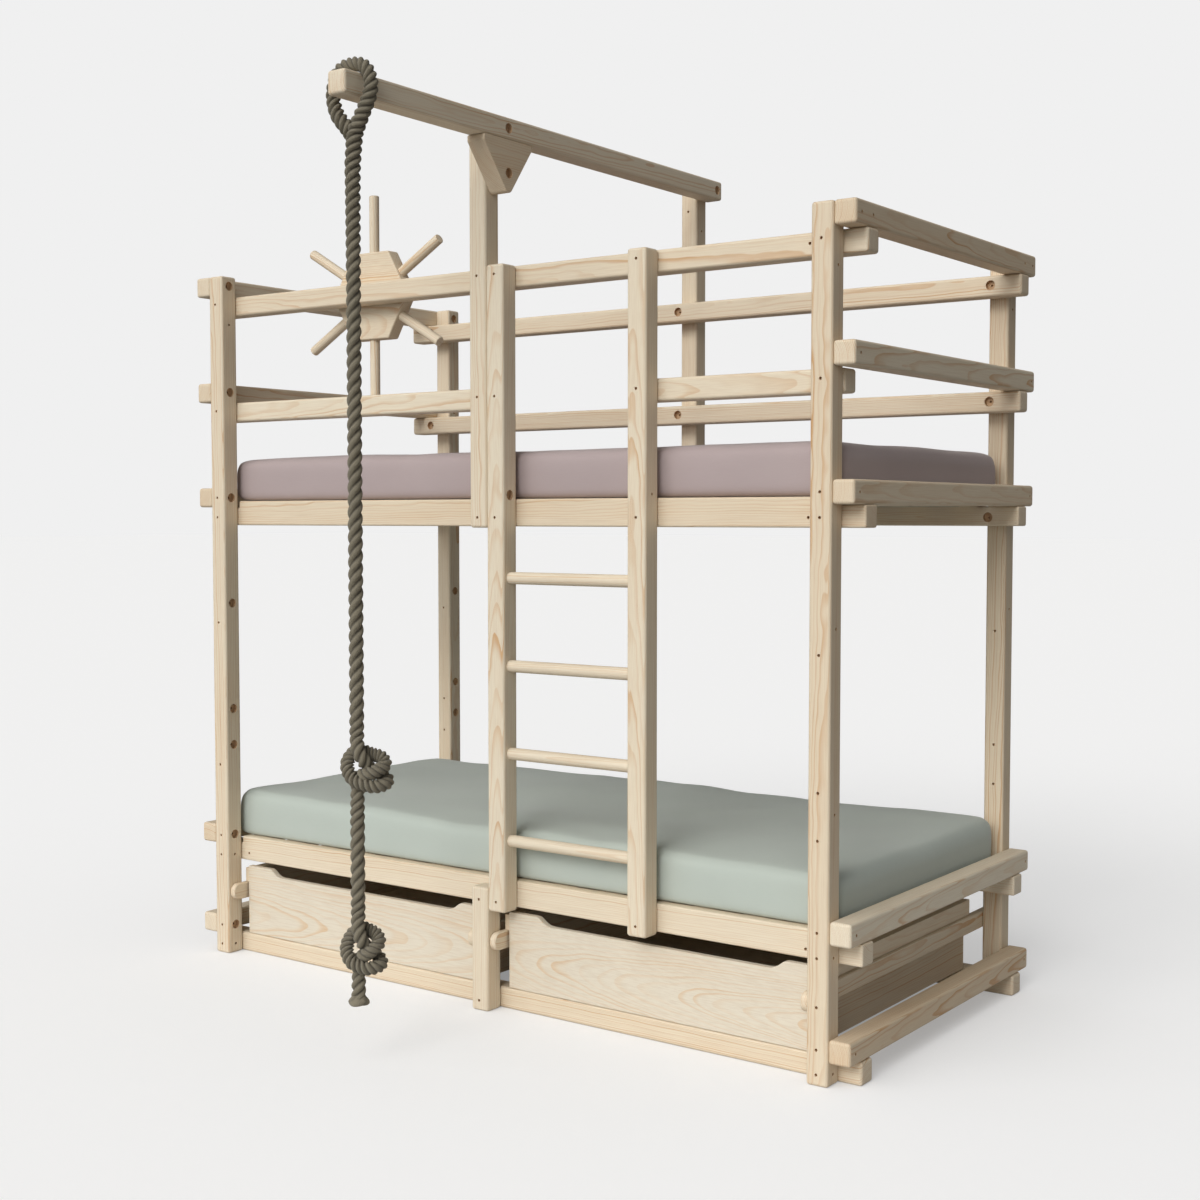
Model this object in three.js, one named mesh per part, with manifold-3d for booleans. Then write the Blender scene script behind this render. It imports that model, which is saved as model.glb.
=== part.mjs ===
// Bunk bed of square timber: two bunks, ladder, swing beam with a climbing rope,
// a steering wheel on the top guard rail and two drawers under the lower bunk.
// Millimetres, +Z up, X along the bed, the ladder side faces -Y.
import * as THREE from 'three';
import { mergeVertices } from 'three/addons/utils/BufferGeometryUtils.js';
import Module from 'manifold-3d';

const wasm = await Module();
wasm.setup();

// ---------------------------------------------------------------- dimensions
const SEC = 55;                 // side of the square timber
const GAP = 0.3;                // clearance between touching pieces
const CH = 4;                   // chamfer on the long edges of the timber
const LEN = 2017;               // length over the corner posts
const DEP = 1037.5;             // depth over the corner posts
const TOP_H = 1963;             // height of the corner posts
const FRONT_Y = SEC + GAP;      // front face of the front long rails
const BACK_Y = DEP - 2 * SEC - GAP; // front face of the back long rails
const LEFT_OUT = 56;            // how far the long rails stand out past the left posts
const RIGHT_OUT = 57;           // and past the right posts
const MID_OUT = 3;              // the middle front rail is cut almost flush

// heights of the five levels: top of the long rail, on which the end rail lies
const Z_BOTTOM = 55;
const Z_LOW = 321.3;
const Z_BED = 1301.3;
const Z_MID = 1604;
const Z_TOPR = 1907.7;
const SIDE_EXTRA = 18.3;        // the side rails stand this much higher between the posts
const SIDE_H = 51.7;            // and are this high at their ends
const SLAT_T = 18;              // slat thickness, let into the side rails
const SLAT_W = 70;
const SLAT_N = 14;
const REBATE_W = 25;

const SWING_X = 980.5;          // left face of the swing posts and divider posts
const LADDER_L = SWING_X + SEC + 0.8;
const LADDER_R = 1469.6;
const LADDER_BOTTOM = 264;
const RUNG_Z = [448, 671.7, 895.4, 1119.2];
const RUNG_D = 31;
const RUNG_IN = 22;             // how deep a rung goes into its upright
const DIVIDER_H = 322.8;

const BEAM_X = SWING_X + SEC + GAP;
const BEAM_Z = 2216.6;          // underside of the swing beam
const BEAM_FRONT = -551;        // front end of the swing beam
const GUSSET_FRONT = 96.5;      // how far the gusset under the beam reaches in front of the post's middle
const GUSSET_REAR = 91.5;       // and behind it
const GUSSET_BOT = 12;
const GUSSET_H = 131.5;
const GUSSET_BORE = 2133;

const MAT_L = 2010, MAT_W = 916, MAT_T = 128, MAT_R = 26;

const GUIDE_T = 19, GUIDE_Z = 158.5, GUIDE_H = 46, GUIDE_FRONT = 7;
const RUNNER_T = 16, RUNNER_TOP = 247;
const BOARD_T = 16, FRONT_T = 18;
const DRAWER_Z = 56.6, DRAWER_TOP = 254.3, DRAWER_LOW = 233;
const DRAWER_BACK = 921;        // back end of the drawer boxes
const CUT = [86, 142, 765, 821]; // hand cut-out of a drawer front, from its left edge

const WHEEL = [527.8, 112.3, Z_TOPR - SEC / 2]; // centre of the hub's front face
const HUB_AF = 237.4, HUB_T = 41.5;
const HANDLE_D = 27, HANDLE_R = 275, HANDLE_IN = 28;
const AXLE_D = 12;

const ROPE_D = 33;
const ROPE_Y = -499;
const ROPE_BOTTOM = 145;
const BORE_D = 26, BORE_DEPTH = 11; // counterbores of the carriage bolts

// ---------------------------------------------------------------- helpers
const pine = (c) => new THREE.MeshStandardMaterial({ color: c, roughness: 0.62, metalness: 0 });
const PINE = '#e4cfac', PINE_LIGHT = '#ead9bd', PINE_WARM = '#dfc79e';
const MAUVE = '#b3a19e', SAGE = '#aeb8b0', ROPE = '#6b6655', STEEL = '#8d8f92', STRAP = '#d8d2c4';

const bed = new THREE.Group();
function add(parent, name, geometry, material, position = [0, 0, 0], rotation = [0, 0, 0]) {
  const m = new THREE.Mesh(geometry, material);
  m.name = name;
  m.position.set(...position);
  m.rotation.set(...rotation);
  parent.add(m);
  return m;
}
// closed geometry to a manifold solid and back
function solid(geometry) {
  const g = geometry.clone();
  g.deleteAttribute('normal');
  g.deleteAttribute('uv');
  const m = mergeVertices(g, 1e-4);
  return new wasm.Manifold(new wasm.Mesh({
    numProp: 3,
    vertProperties: new Float32Array(m.attributes.position.array),
    triVerts: new Uint32Array(m.index.array),
  }));
}
function mesh(man) {
  const m = man.getMesh();
  const g = new THREE.BufferGeometry();
  const pos = new Float32Array(m.numVert * 3);
  for (let i = 0; i < m.numVert; i++) for (let k = 0; k < 3; k++) pos[i * 3 + k] = m.vertProperties[i * m.numProp + k];
  g.setAttribute('position', new THREE.BufferAttribute(pos, 3));
  g.setIndex(new THREE.BufferAttribute(new Uint32Array(m.triVerts), 1));
  g.computeVertexNormals();
  return g;
}
function box(x0, x1, y0, y1, z0, z1) {
  const g = new THREE.BoxGeometry(x1 - x0, y1 - y0, z1 - z0);
  g.translate((x0 + x1) / 2, (y0 + y1) / 2, (z0 + z1) / 2);
  return g;
}
// timber with chamfered long edges, running along the axis given
function timber(axis, a, b, c, len, w = SEC, h = SEC, ch = CH) {
  const s = new THREE.Shape();
  s.moveTo(ch, 0); s.lineTo(w - ch, 0); s.lineTo(w, ch); s.lineTo(w, h - ch);
  s.lineTo(w - ch, h); s.lineTo(ch, h); s.lineTo(0, h - ch); s.lineTo(0, ch); s.closePath();
  const g = new THREE.ExtrudeGeometry(s, { depth: len, bevelEnabled: false });
  if (axis === 'x') { g.rotateX(Math.PI / 2); g.rotateZ(Math.PI / 2); }   // section (y, z), length x
  if (axis === 'y') { g.rotateX(Math.PI / 2); g.translate(0, len, 0); }   // section (x, z), length y
  g.translate(a, b, c);
  return g;
}
// round bar or bore along an axis; p is the middle of its start face
function rod(axis, p, len, d, sides = 12) {
  const g = new THREE.CylinderGeometry(d / 2, d / 2, len, sides, 1, false);
  if (axis === 'x') g.rotateZ(-Math.PI / 2);
  if (axis === 'z') g.rotateX(Math.PI / 2);
  const o = { x: [len / 2, 0, 0], y: [0, len / 2, 0], z: [0, 0, len / 2] }[axis];
  g.translate(p[0] + o[0], p[1] + o[1], p[2] + o[2]);
  return g;
}
function cut(geometry, ...tools) {
  let m = solid(geometry);
  for (const t of tools) m = m.subtract(solid(t));
  return mesh(m);
}
function join(...parts) {
  let m = solid(parts[0]);
  for (const t of parts.slice(1)) m = m.add(solid(t));
  return mesh(m);
}
const boresX = (x, list) => list.map(([y, z]) => rod('x', [x - BORE_DEPTH, y, z], BORE_DEPTH + 2, BORE_D, 10));

// ---------------------------------------------------------------- posts
const HALF = SEC / 2;
const levels = [Z_BOTTOM - HALF, Z_LOW - HALF, Z_BED - HALF, Z_MID - HALF, Z_TOPR - HALF];
const endLevels = [Z_BOTTOM, Z_LOW, Z_BED, Z_MID, Z_TOPR].map((z) => z + GAP + HALF);
for (const [side, y] of [['front', 0], ['back', DEP - SEC]]) {
  // the bolts of the left end rails are sunk in the right faces of the left posts
  add(bed, `post_${side}_left`, cut(timber('z', 0, y, 0, TOP_H), ...boresX(SEC, endLevels.map((z) => [y + HALF, z]))), pine(PINE));
  add(bed, `post_${side}_right`, timber('z', LEN - SEC, y, 0, TOP_H), pine(PINE));
  add(bed, `swing_post_${side}`, timber('z', SWING_X, y, Z_BED - SEC, BEAM_Z + SEC - (Z_BED - SEC)), pine(PINE));
  add(bed, `divider_post_${side}`, timber('z', SWING_X, y, 0, DIVIDER_H), pine(PINE_WARM));
}

// ---------------------------------------------------------------- long rails
const along = (y, zTop, x0, x1) => timber('x', x0, y, zTop - SEC, x1 - x0);
// a side rail: higher between the posts, with a rebate inside for the slats
function sideRail(y, zTop, inner) {
  const x0 = -LEFT_OUT, x1 = LEN + RIGHT_OUT, c = 2;
  const s = new THREE.Shape();
  s.moveTo(x0 + c, zTop - SIDE_H); s.lineTo(x1 - c, zTop - SIDE_H); s.lineTo(x1, zTop - SIDE_H + c); s.lineTo(x1, zTop);
  s.lineTo(LEN - SEC - 0.6, zTop); s.lineTo(LEN - SEC - 0.6, zTop + SIDE_EXTRA);
  s.lineTo(SEC + 0.6, zTop + SIDE_EXTRA); s.lineTo(SEC + 0.6, zTop); s.lineTo(x0, zTop); s.lineTo(x0, zTop - SIDE_H + c); s.closePath();
  const g = new THREE.ExtrudeGeometry(s, { depth: SEC, bevelEnabled: false });
  g.rotateX(Math.PI / 2);
  g.translate(0, y + SEC, 0);
  const yr = inner > 0 ? [y + SEC - REBATE_W, y + SEC + 1] : [y - 1, y + REBATE_W];
  return cut(g, box(SEC - 5, LEN - SEC + 5, yr[0], yr[1], zTop, zTop + SIDE_EXTRA + 1));
}
const wheelBore = rod('y', [WHEEL[0], FRONT_Y + 6, WHEEL[2]], SEC, AXLE_D + 1.6, 12);
add(bed, 'rail_front_top', cut(along(FRONT_Y, Z_TOPR, -LEFT_OUT, LEN + RIGHT_OUT), wheelBore), pine(PINE_LIGHT));
add(bed, 'rail_front_mid_left', along(FRONT_Y, Z_MID, -LEFT_OUT, SWING_X + SEC), pine(PINE_LIGHT));
add(bed, 'rail_front_mid_right', along(FRONT_Y, Z_MID, LADDER_R + 1, LEN + MID_OUT), pine(PINE_LIGHT));
add(bed, 'side_rail_front_upper', sideRail(FRONT_Y, Z_BED, 1), pine(PINE_LIGHT));
add(bed, 'side_rail_front_lower', sideRail(FRONT_Y, Z_LOW, 1), pine(PINE_LIGHT));
add(bed, 'rail_front_bottom', along(FRONT_Y, Z_BOTTOM, -LEFT_OUT, LEN + RIGHT_OUT), pine(PINE_LIGHT));
add(bed, 'rail_back_top', along(BACK_Y, Z_TOPR, -LEFT_OUT, LEN + RIGHT_OUT), pine(PINE));
add(bed, 'rail_back_mid', along(BACK_Y, Z_MID, -LEFT_OUT, LEN + RIGHT_OUT), pine(PINE));
add(bed, 'side_rail_back_upper', sideRail(BACK_Y, Z_BED, -1), pine(PINE));
add(bed, 'side_rail_back_lower', sideRail(BACK_Y, Z_LOW, -1), pine(PINE));
add(bed, 'rail_back_bottom', along(BACK_Y, Z_BOTTOM, -LEFT_OUT, LEN + RIGHT_OUT), pine(PINE));

// ---------------------------------------------------------------- end rails
for (const [side, x] of [['left', -SEC - GAP], ['right', LEN + GAP]]) {
  for (const [lev, z] of [['bottom', Z_BOTTOM], ['low', Z_LOW], ['bed', Z_BED], ['mid', Z_MID], ['top', Z_TOPR]]) {
    add(bed, `end_rail_${side}_${lev}`, timber('y', x, 2, z + GAP, DEP - 8), pine(PINE));
  }
}

// ---------------------------------------------------------------- ladder
const rungBores = (x) => RUNG_Z.map((z) => rod('x', [x, HALF, z], RUNG_IN + 2, RUNG_D + 0.9, 12));
add(bed, 'ladder_upright_left', cut(timber('z', LADDER_L, 0, LADDER_BOTTOM, Z_TOPR - LADDER_BOTTOM), ...rungBores(LADDER_L + SEC - RUNG_IN),
  ...boresX(LADDER_L + SEC, [[HALF - 1, 1329]])), pine(PINE_WARM));
add(bed, 'ladder_upright_right', cut(timber('z', LADDER_R, 0, LADDER_BOTTOM, Z_TOPR - LADDER_BOTTOM), ...rungBores(LADDER_R - 2)), pine(PINE_WARM));
RUNG_Z.forEach((z, i) => {
  const x0 = LADDER_L + SEC - RUNG_IN + 0.5, x1 = LADDER_R + RUNG_IN - 0.5;
  add(bed, `ladder_rung_${i + 1}`, rod('x', [0, 0, 0], x1 - x0, RUNG_D, 12), pine(PINE_LIGHT), [x0, HALF, z]);
});

// ---------------------------------------------------------------- swing beam and gusset
const BEAM_C = [BEAM_X + HALF, BEAM_Z + HALF];
add(bed, 'swing_beam', cut(timber('y', BEAM_X, BEAM_FRONT, BEAM_Z, DEP - BEAM_FRONT),
  ...boresX(BEAM_X + SEC, [[HALF, BEAM_C[1]], [DEP - 27, BEAM_C[1]]])), pine(PINE_WARM));
{
  const s = new THREE.Shape();           // seen along X: u = y, v = z
  const zt = BEAM_Z - GAP, zb = zt - GUSSET_H, c = 6;
  s.moveTo(HALF - GUSSET_BOT + c, zb); s.lineTo(HALF + GUSSET_BOT - c, zb); s.lineTo(HALF + GUSSET_BOT, zb + c);
  s.lineTo(HALF + GUSSET_REAR, zt - c); s.lineTo(HALF + GUSSET_REAR, zt);
  s.lineTo(HALF - GUSSET_FRONT, zt); s.lineTo(HALF - GUSSET_FRONT, zt - c); s.lineTo(HALF - GUSSET_BOT, zb + c); s.closePath();
  const g = new THREE.ExtrudeGeometry(s, { depth: SEC, bevelEnabled: false });
  g.rotateX(Math.PI / 2); g.rotateZ(Math.PI / 2);
  g.translate(BEAM_X, 0, 0);
  add(bed, 'beam_gusset', cut(g, ...boresX(BEAM_X + SEC, [[HALF, GUSSET_BORE]])), pine(PINE_WARM));
}

// ---------------------------------------------------------------- slatted bases and mattresses
function slats(zTop) {
  const y0 = FRONT_Y + SEC - REBATE_W + 1, y1 = BACK_Y + REBATE_W - 1;
  const zt = zTop + SIDE_EXTRA, zb = zt - SLAT_T;
  const x0 = 64, x1 = LEN - 64 - SLAT_W, step = (x1 - x0) / (SLAT_N - 1);
  const parts = [];
  for (let i = 0; i < SLAT_N; i++) parts.push(box(x0 + i * step, x0 + i * step + SLAT_W, y0, y1, zb, zt));
  for (const y of [210, DEP - 210]) parts.push(box(x0 + 5, x1 + SLAT_W - 5, y - 12, y + 12, zb - 2, zb + 1));
  return join(...parts);
}
add(bed, 'slatted_base_upper', slats(Z_BED), pine(PINE_LIGHT));
add(bed, 'slatted_base_lower', slats(Z_LOW), pine(PINE_LIGHT));
function mattress() {
  const b = 14, s = new THREE.Shape(), l = MAT_L - 2 * b, w = MAT_W - 2 * b, r = MAT_R;
  const corner = (cx, cy, a0) => { for (let i = 0; i <= 3; i++) { const a = a0 + i * Math.PI / 6; s.lineTo(cx + r * Math.cos(a), cy + r * Math.sin(a)); } };
  s.moveTo(l / 2 - r, -w / 2);
  corner(l / 2 - r, -w / 2 + r, -Math.PI / 2); corner(l / 2 - r, w / 2 - r, 0);
  corner(-l / 2 + r, w / 2 - r, Math.PI / 2); corner(-l / 2 + r, -w / 2 + r, Math.PI);
  const g = new THREE.ExtrudeGeometry(s, { depth: MAT_T - 2 * b, bevelEnabled: true, bevelSize: b, bevelThickness: b, bevelSegments: 1, curveSegments: 3 });
  g.translate(0, 0, b);
  return g;
}
const fabric = (c) => new THREE.MeshStandardMaterial({ color: c, roughness: 0.85, metalness: 0 });
add(bed, 'mattress_upper', mattress(), fabric(MAUVE), [LEN / 2, DEP / 2, Z_BED + SIDE_EXTRA + GAP]);
add(bed, 'mattress_lower', mattress(), fabric(SAGE), [LEN / 2, DEP / 2, Z_LOW + SIDE_EXTRA + GAP]);

// ---------------------------------------------------------------- drawers and their guides
function guide() {                        // along Y, with a rounded nose in front
  const s = new THREE.Shape(), r = 20, n = 4, len = DEP - GUIDE_FRONT - 2;
  s.moveTo(len, 0); s.lineTo(len, GUIDE_H);
  for (let i = 0; i <= n; i++) { const a = Math.PI / 2 + i * Math.PI / 2 / n; s.lineTo(r + r * Math.cos(a), GUIDE_H - r + r * Math.sin(a)); }
  for (let i = 0; i <= n; i++) { const a = Math.PI + i * Math.PI / 2 / n; s.lineTo(r + r * Math.cos(a), r + r * Math.sin(a)); }
  s.closePath();
  const g = new THREE.ExtrudeGeometry(s, { depth: GUIDE_T, bevelEnabled: false });
  g.rotateX(Math.PI / 2); g.rotateZ(Math.PI / 2);
  return g;
}
for (const [name, x] of [['left_outer', SEC + GAP], ['left_inner', SWING_X - GAP - GUIDE_T], ['right_inner', SWING_X + SEC + GAP], ['right_outer', LEN - SEC - GAP - GUIDE_T]]) {
  add(bed, `drawer_guide_${name}`, guide(), pine(PINE_WARM), [x, GUIDE_FRONT, GUIDE_Z]);
}
function drawer(name, xa, xb) {           // xa, xb: outer faces of the two runners
  const grp = new THREE.Group();
  const p0 = xa + RUNNER_T + GAP, p1 = xb - RUNNER_T - GAP;
  const s = new THREE.Shape();
  const S = (x0, x1, z0, z1) => {          // steep from the top, then a long soft run-out
    for (let i = 1; i <= 8; i++) {
      const t = z1 < z0 ? i / 8 : 1 - i / 8, u = 0.357 * 3 * t * (1 - t) + t ** 3, v = 3 * t * t - 2 * t ** 3;
      if (z1 < z0) s.lineTo(x0 + (x1 - x0) * u, z0 + (z1 - z0) * v);
      else s.lineTo(x1 + (x0 - x1) * u, z1 + (z0 - z1) * v);
    }
  };
  s.moveTo(p0, DRAWER_Z); s.lineTo(p1, DRAWER_Z); s.lineTo(p1, DRAWER_TOP); s.lineTo(p0 + CUT[3], DRAWER_TOP);
  S(p0 + CUT[3], p0 + CUT[2], DRAWER_TOP, DRAWER_LOW);
  s.lineTo(p0 + CUT[1], DRAWER_LOW);
  S(p0 + CUT[1], p0 + CUT[0], DRAWER_LOW, DRAWER_TOP);
  s.lineTo(p0, DRAWER_TOP); s.closePath();
  const g = new THREE.ExtrudeGeometry(s, { depth: FRONT_T, bevelEnabled: false });
  g.rotateX(Math.PI / 2);
  g.translate(0, FRONT_Y + FRONT_T, 0);
  add(grp, `drawer_${name}_front`, g, pine(PINE_LIGHT));
  const yb = FRONT_Y + FRONT_T + GAP, z0 = DRAWER_Z + 1.5;
  // box: two sides, back, bottom, and the runners that hang over the guides
  add(grp, `drawer_${name}_box`, join(
    box(p0, p0 + BOARD_T, yb, DRAWER_BACK, z0, RUNNER_TOP),
    box(p1 - BOARD_T, p1, yb, DRAWER_BACK, z0, RUNNER_TOP),
    box(p0 + 1, p1 - 1, DRAWER_BACK - BOARD_T, DRAWER_BACK - 0.5, z0, 216),
    box(p0 + 1, p1 - 1, yb, DRAWER_BACK - 1, z0 + 8, z0 + 16),
    box(xa, p0 + 1, yb, DRAWER_BACK, GUIDE_Z + GUIDE_H + 0.4, RUNNER_TOP - 0.5),
    box(p1 - 1, xb, yb, DRAWER_BACK, GUIDE_Z + GUIDE_H + 0.4, RUNNER_TOP - 0.5),
    box(xa, p0 - GAP, FRONT_Y + 4, yb + 1, GUIDE_Z + GUIDE_H + 0.4, RUNNER_TOP - 0.5),
    box(p1 + GAP, xb, FRONT_Y + 4, yb + 1, GUIDE_Z + GUIDE_H + 0.4, RUNNER_TOP - 0.5)), pine(PINE));
  bed.add(grp);
}
drawer('left', 64.3, 971.2);
drawer('right', 1045, 1952.4);

// ---------------------------------------------------------------- steering wheel
const wheel = new THREE.Group();
wheel.position.set(...WHEEL);
{
  const hub = new THREE.CylinderGeometry(HUB_AF / Math.sqrt(3), HUB_AF / Math.sqrt(3), HUB_T, 6, 1, false);
  hub.rotateY(Math.PI / 2);              // two corners on the X axis, a flat on top
  hub.translate(0, HUB_T / 2, 0);
  const tools = [rod('y', [0, -2, 0], HUB_T + 4, AXLE_D + 2, 12)];
  for (let i = 0; i < 6; i++) {
    const t = rod('z', [0, 0, HUB_AF / 2 - HANDLE_IN], HANDLE_IN + 3, HANDLE_D + 0.9, 12);
    t.rotateY(i * Math.PI / 3);
    t.translate(0, HUB_T / 2, 0);
    tools.push(t);
  }
  add(wheel, 'wheel_hub', cut(hub, ...tools), pine(PINE));
  for (let i = 0; i < 6; i++) {
    const r0 = HUB_AF / 2 - HANDLE_IN + 0.5;
    add(wheel, `wheel_handle_${i + 1}`, rod('z', [0, 0, r0], HANDLE_R - r0, HANDLE_D, 12), pine(PINE_LIGHT), [0, HUB_T / 2, 0], [0, i * Math.PI / 3, 0]);
  }
  add(wheel, 'wheel_axle', join(rod('y', [0, -44, 0], HUB_T + 45.4, AXLE_D, 12), rod('y', [0, HUB_T + 1, 0], 7, 28, 12)),
    new THREE.MeshStandardMaterial({ color: STEEL, roughness: 0.4, metalness: 0.9 }));
}
bed.add(wheel);

// ---------------------------------------------------------------- climbing rope
const ropeMat = new THREE.MeshStandardMaterial({ color: ROPE, roughness: 0.9, metalness: 0 });
const EYE_R = 16;                        // radius of the rope in the eye
const eyePath = [[0, 47.5], [20, 46], [38, 38.5], [50, 26], [57, 8], [59, -8], [54, -30], [44, -50], [33, -69], [21, -87], [10, -98], [0, -102]];
const EYE_BOTTOM = BEAM_C[1] - 102 - EYE_R;
{
  const pts = eyePath.map(([x, z]) => new THREE.Vector3(x, 0, z)).concat(
    eyePath.slice(1, -1).reverse().map(([x, z]) => new THREE.Vector3(-x, 0, z)));
  const curve = new THREE.CatmullRomCurve3(pts, true, 'centripetal');
  const N = 36, M = 8, g = new THREE.TorusGeometry(50, EYE_R, M, N);
  const pos = g.attributes.position;
  for (let j = 0; j <= M; j++) for (let i = 0; i <= N; i++) {
    const k = j * (N + 1) + i, u = (i % N) / N, v = (j % M) / M * Math.PI * 2;
    const c = curve.getPointAt(u), t = curve.getTangentAt(u);
    const n = new THREE.Vector3(-t.z, 0, t.x);  // across the loop, in its plane
    pos.setXYZ(k, c.x + n.x * EYE_R * Math.cos(v), EYE_R * Math.sin(v), c.z + n.z * EYE_R * Math.cos(v));
  }
  add(bed, 'rope_eye', cut(g), ropeMat, [BEAM_C[0], ROPE_Y, BEAM_C[1]]);
}
{
  const r = ROPE_D / 2, pivot = EYE_BOTTOM - GAP - r, prof = [];
  const P = (rr, z) => prof.push(new THREE.Vector2(rr, z));
  const knot = (zc, hz, rk) => { for (const a of [-80, -50, -20, 20, 50, 80]) P(Math.max(r, r + (rk - r) * Math.cos(a * Math.PI / 180)), zc + hz * Math.sin(a * Math.PI / 180)); };
  P(0, ROPE_BOTTOM); P(20, ROPE_BOTTOM); P(r, ROPE_BOTTOM + 30);
  knot(266, 56, 45); knot(688, 56, 48);
  P(r, pivot - 400); P(r, pivot);
  for (const a of [30, 60]) P(r * Math.cos(a * Math.PI / 180), pivot + r * Math.sin(a * Math.PI / 180));
  P(0, pivot + r);
  const g = new THREE.LatheGeometry(prof, 12);
  g.rotateX(Math.PI / 2);
  add(bed, 'rope_line', cut(g), ropeMat, [BEAM_C[0], ROPE_Y, 0]);
}

// ---------------------------------------------------------------- origin at the middle of the footprint
const frame = new THREE.Box3();
bed.updateMatrixWorld(true);
bed.traverse((o) => { if (o.isMesh && !o.name.startsWith('rope_')) frame.expandByObject(o); });
bed.position.set(-(frame.min.x + frame.max.x) / 2, -(frame.min.y + frame.max.y) / 2, -frame.min.z);
bed.name = 'bunk_bed';

export default bed;
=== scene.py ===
"""Looks of the bunk bed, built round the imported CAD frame. Sizes in the lists are millimetres in part.mjs's own
frame (outer front left bottom corner of the front left post), turned to metres in the row frame by S()."""
import math
import random

import bmesh
import bpy
import numpy as np
from mathutils import Matrix, Vector
from mathutils import noise as mnoise


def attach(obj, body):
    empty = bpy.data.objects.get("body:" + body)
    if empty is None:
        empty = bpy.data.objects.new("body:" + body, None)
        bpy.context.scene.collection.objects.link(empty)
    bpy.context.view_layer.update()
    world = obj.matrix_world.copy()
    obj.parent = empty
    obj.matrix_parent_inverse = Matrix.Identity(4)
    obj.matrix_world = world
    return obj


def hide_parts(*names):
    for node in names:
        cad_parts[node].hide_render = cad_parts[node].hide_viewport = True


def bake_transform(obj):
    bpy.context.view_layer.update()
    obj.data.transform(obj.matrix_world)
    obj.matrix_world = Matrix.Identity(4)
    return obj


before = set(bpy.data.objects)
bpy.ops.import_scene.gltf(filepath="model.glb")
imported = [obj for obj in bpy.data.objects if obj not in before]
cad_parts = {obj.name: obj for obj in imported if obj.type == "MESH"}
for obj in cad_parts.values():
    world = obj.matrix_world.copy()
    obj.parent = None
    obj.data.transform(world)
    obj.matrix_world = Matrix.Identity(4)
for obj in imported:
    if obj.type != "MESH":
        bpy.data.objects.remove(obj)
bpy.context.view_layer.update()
SX, SY = -1009.0, -243.25


def S(p):
    """Millimetres of part.mjs to metres in the row frame."""
    p = np.asarray(p, float)
    return (p + np.array([SX, SY, 0.0])) / 1000.0


# ------------------------------------------------------------------ camera
RIGHT, UP, FWD = Vector((0.80952, 0.58709, -0.0001)), Vector((-0.02934, 0.04062, 0.99874)), Vector((-0.58635, 0.80851, -0.05011))
EYE = Vector((2.747, -3.5031, 1.2754))
cam_data = bpy.data.cameras.new("camera")
cam_data.lens, cam_data.sensor_width = 50.065, 36
cam_data.clip_start, cam_data.clip_end = 0.1, 200
camera = bpy.data.objects.new("camera", cam_data)
bpy.context.scene.collection.objects.link(camera)
camera.matrix_world = Matrix(((RIGHT.x, UP.x, -FWD.x, EYE.x), (RIGHT.y, UP.y, -FWD.y, EYE.y), (RIGHT.z, UP.z, -FWD.z, EYE.z), (0, 0, 0, 1)))
bpy.context.scene.camera = camera

# ------------------------------------------------------------------ dimensions, as in part.mjs
SEC, GAP, LEN, DEP, TOP_H = 55, 0.3, 2017, 1037.5, 1963
FRONT_Y, BACK_Y = SEC + GAP, DEP - 2 * SEC - GAP
LEFT_OUT, RIGHT_OUT, MID_OUT = 56, 57, 3
Z_BOTTOM, Z_LOW, Z_BED, Z_MID, Z_TOPR = 55, 321.3, 1301.3, 1604, 1907.7
SIDE_EXTRA, SIDE_H, SLAT_T, SLAT_W, SLAT_N, REBATE_W = 18.3, 51.7, 18, 70, 14, 25
SWING_X = 980.5
LADDER_L, LADDER_R, LADDER_BOTTOM = SWING_X + SEC + 0.8, 1469.6, 264
RUNG_Z, RUNG_D, RUNG_IN, DIVIDER_H = (448, 671.7, 895.4, 1119.2), 31, 22, 322.8
BEAM_X, BEAM_Z, BEAM_FRONT = SWING_X + SEC + GAP, 2216.6, -551
GUSSET_FRONT, GUSSET_REAR, GUSSET_BOT, GUSSET_H, GUSSET_BORE = 96.5, 91.5, 12, 131.5, 2133
MAT_L, MAT_W, MAT_T = 2010, 916, 128
GUIDE_T, GUIDE_Z, GUIDE_H, GUIDE_FRONT = 19, 158.5, 46, 7
RUNNER_T, RUNNER_TOP, BOARD_T, FRONT_T = 16, 247, 16, 18
DRAWER_Z, DRAWER_TOP, DRAWER_LOW, DRAWER_BACK = 56.6, 254.3, 233, 921
CUT = (86, 142, 765, 821)
WHEEL = (527.8, 112.3, Z_TOPR - SEC / 2)
HUB_AF, HUB_T, HANDLE_D, HANDLE_R, HANDLE_IN, AXLE_D = 237.4, 41.5, 27, 275, 28, 12
ROPE_D, ROPE_Y, ROPE_BOTTOM = 32, -499, 153
HALF = SEC / 2
BEAM_C = (BEAM_X + HALF, BEAM_Z + HALF)


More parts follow.
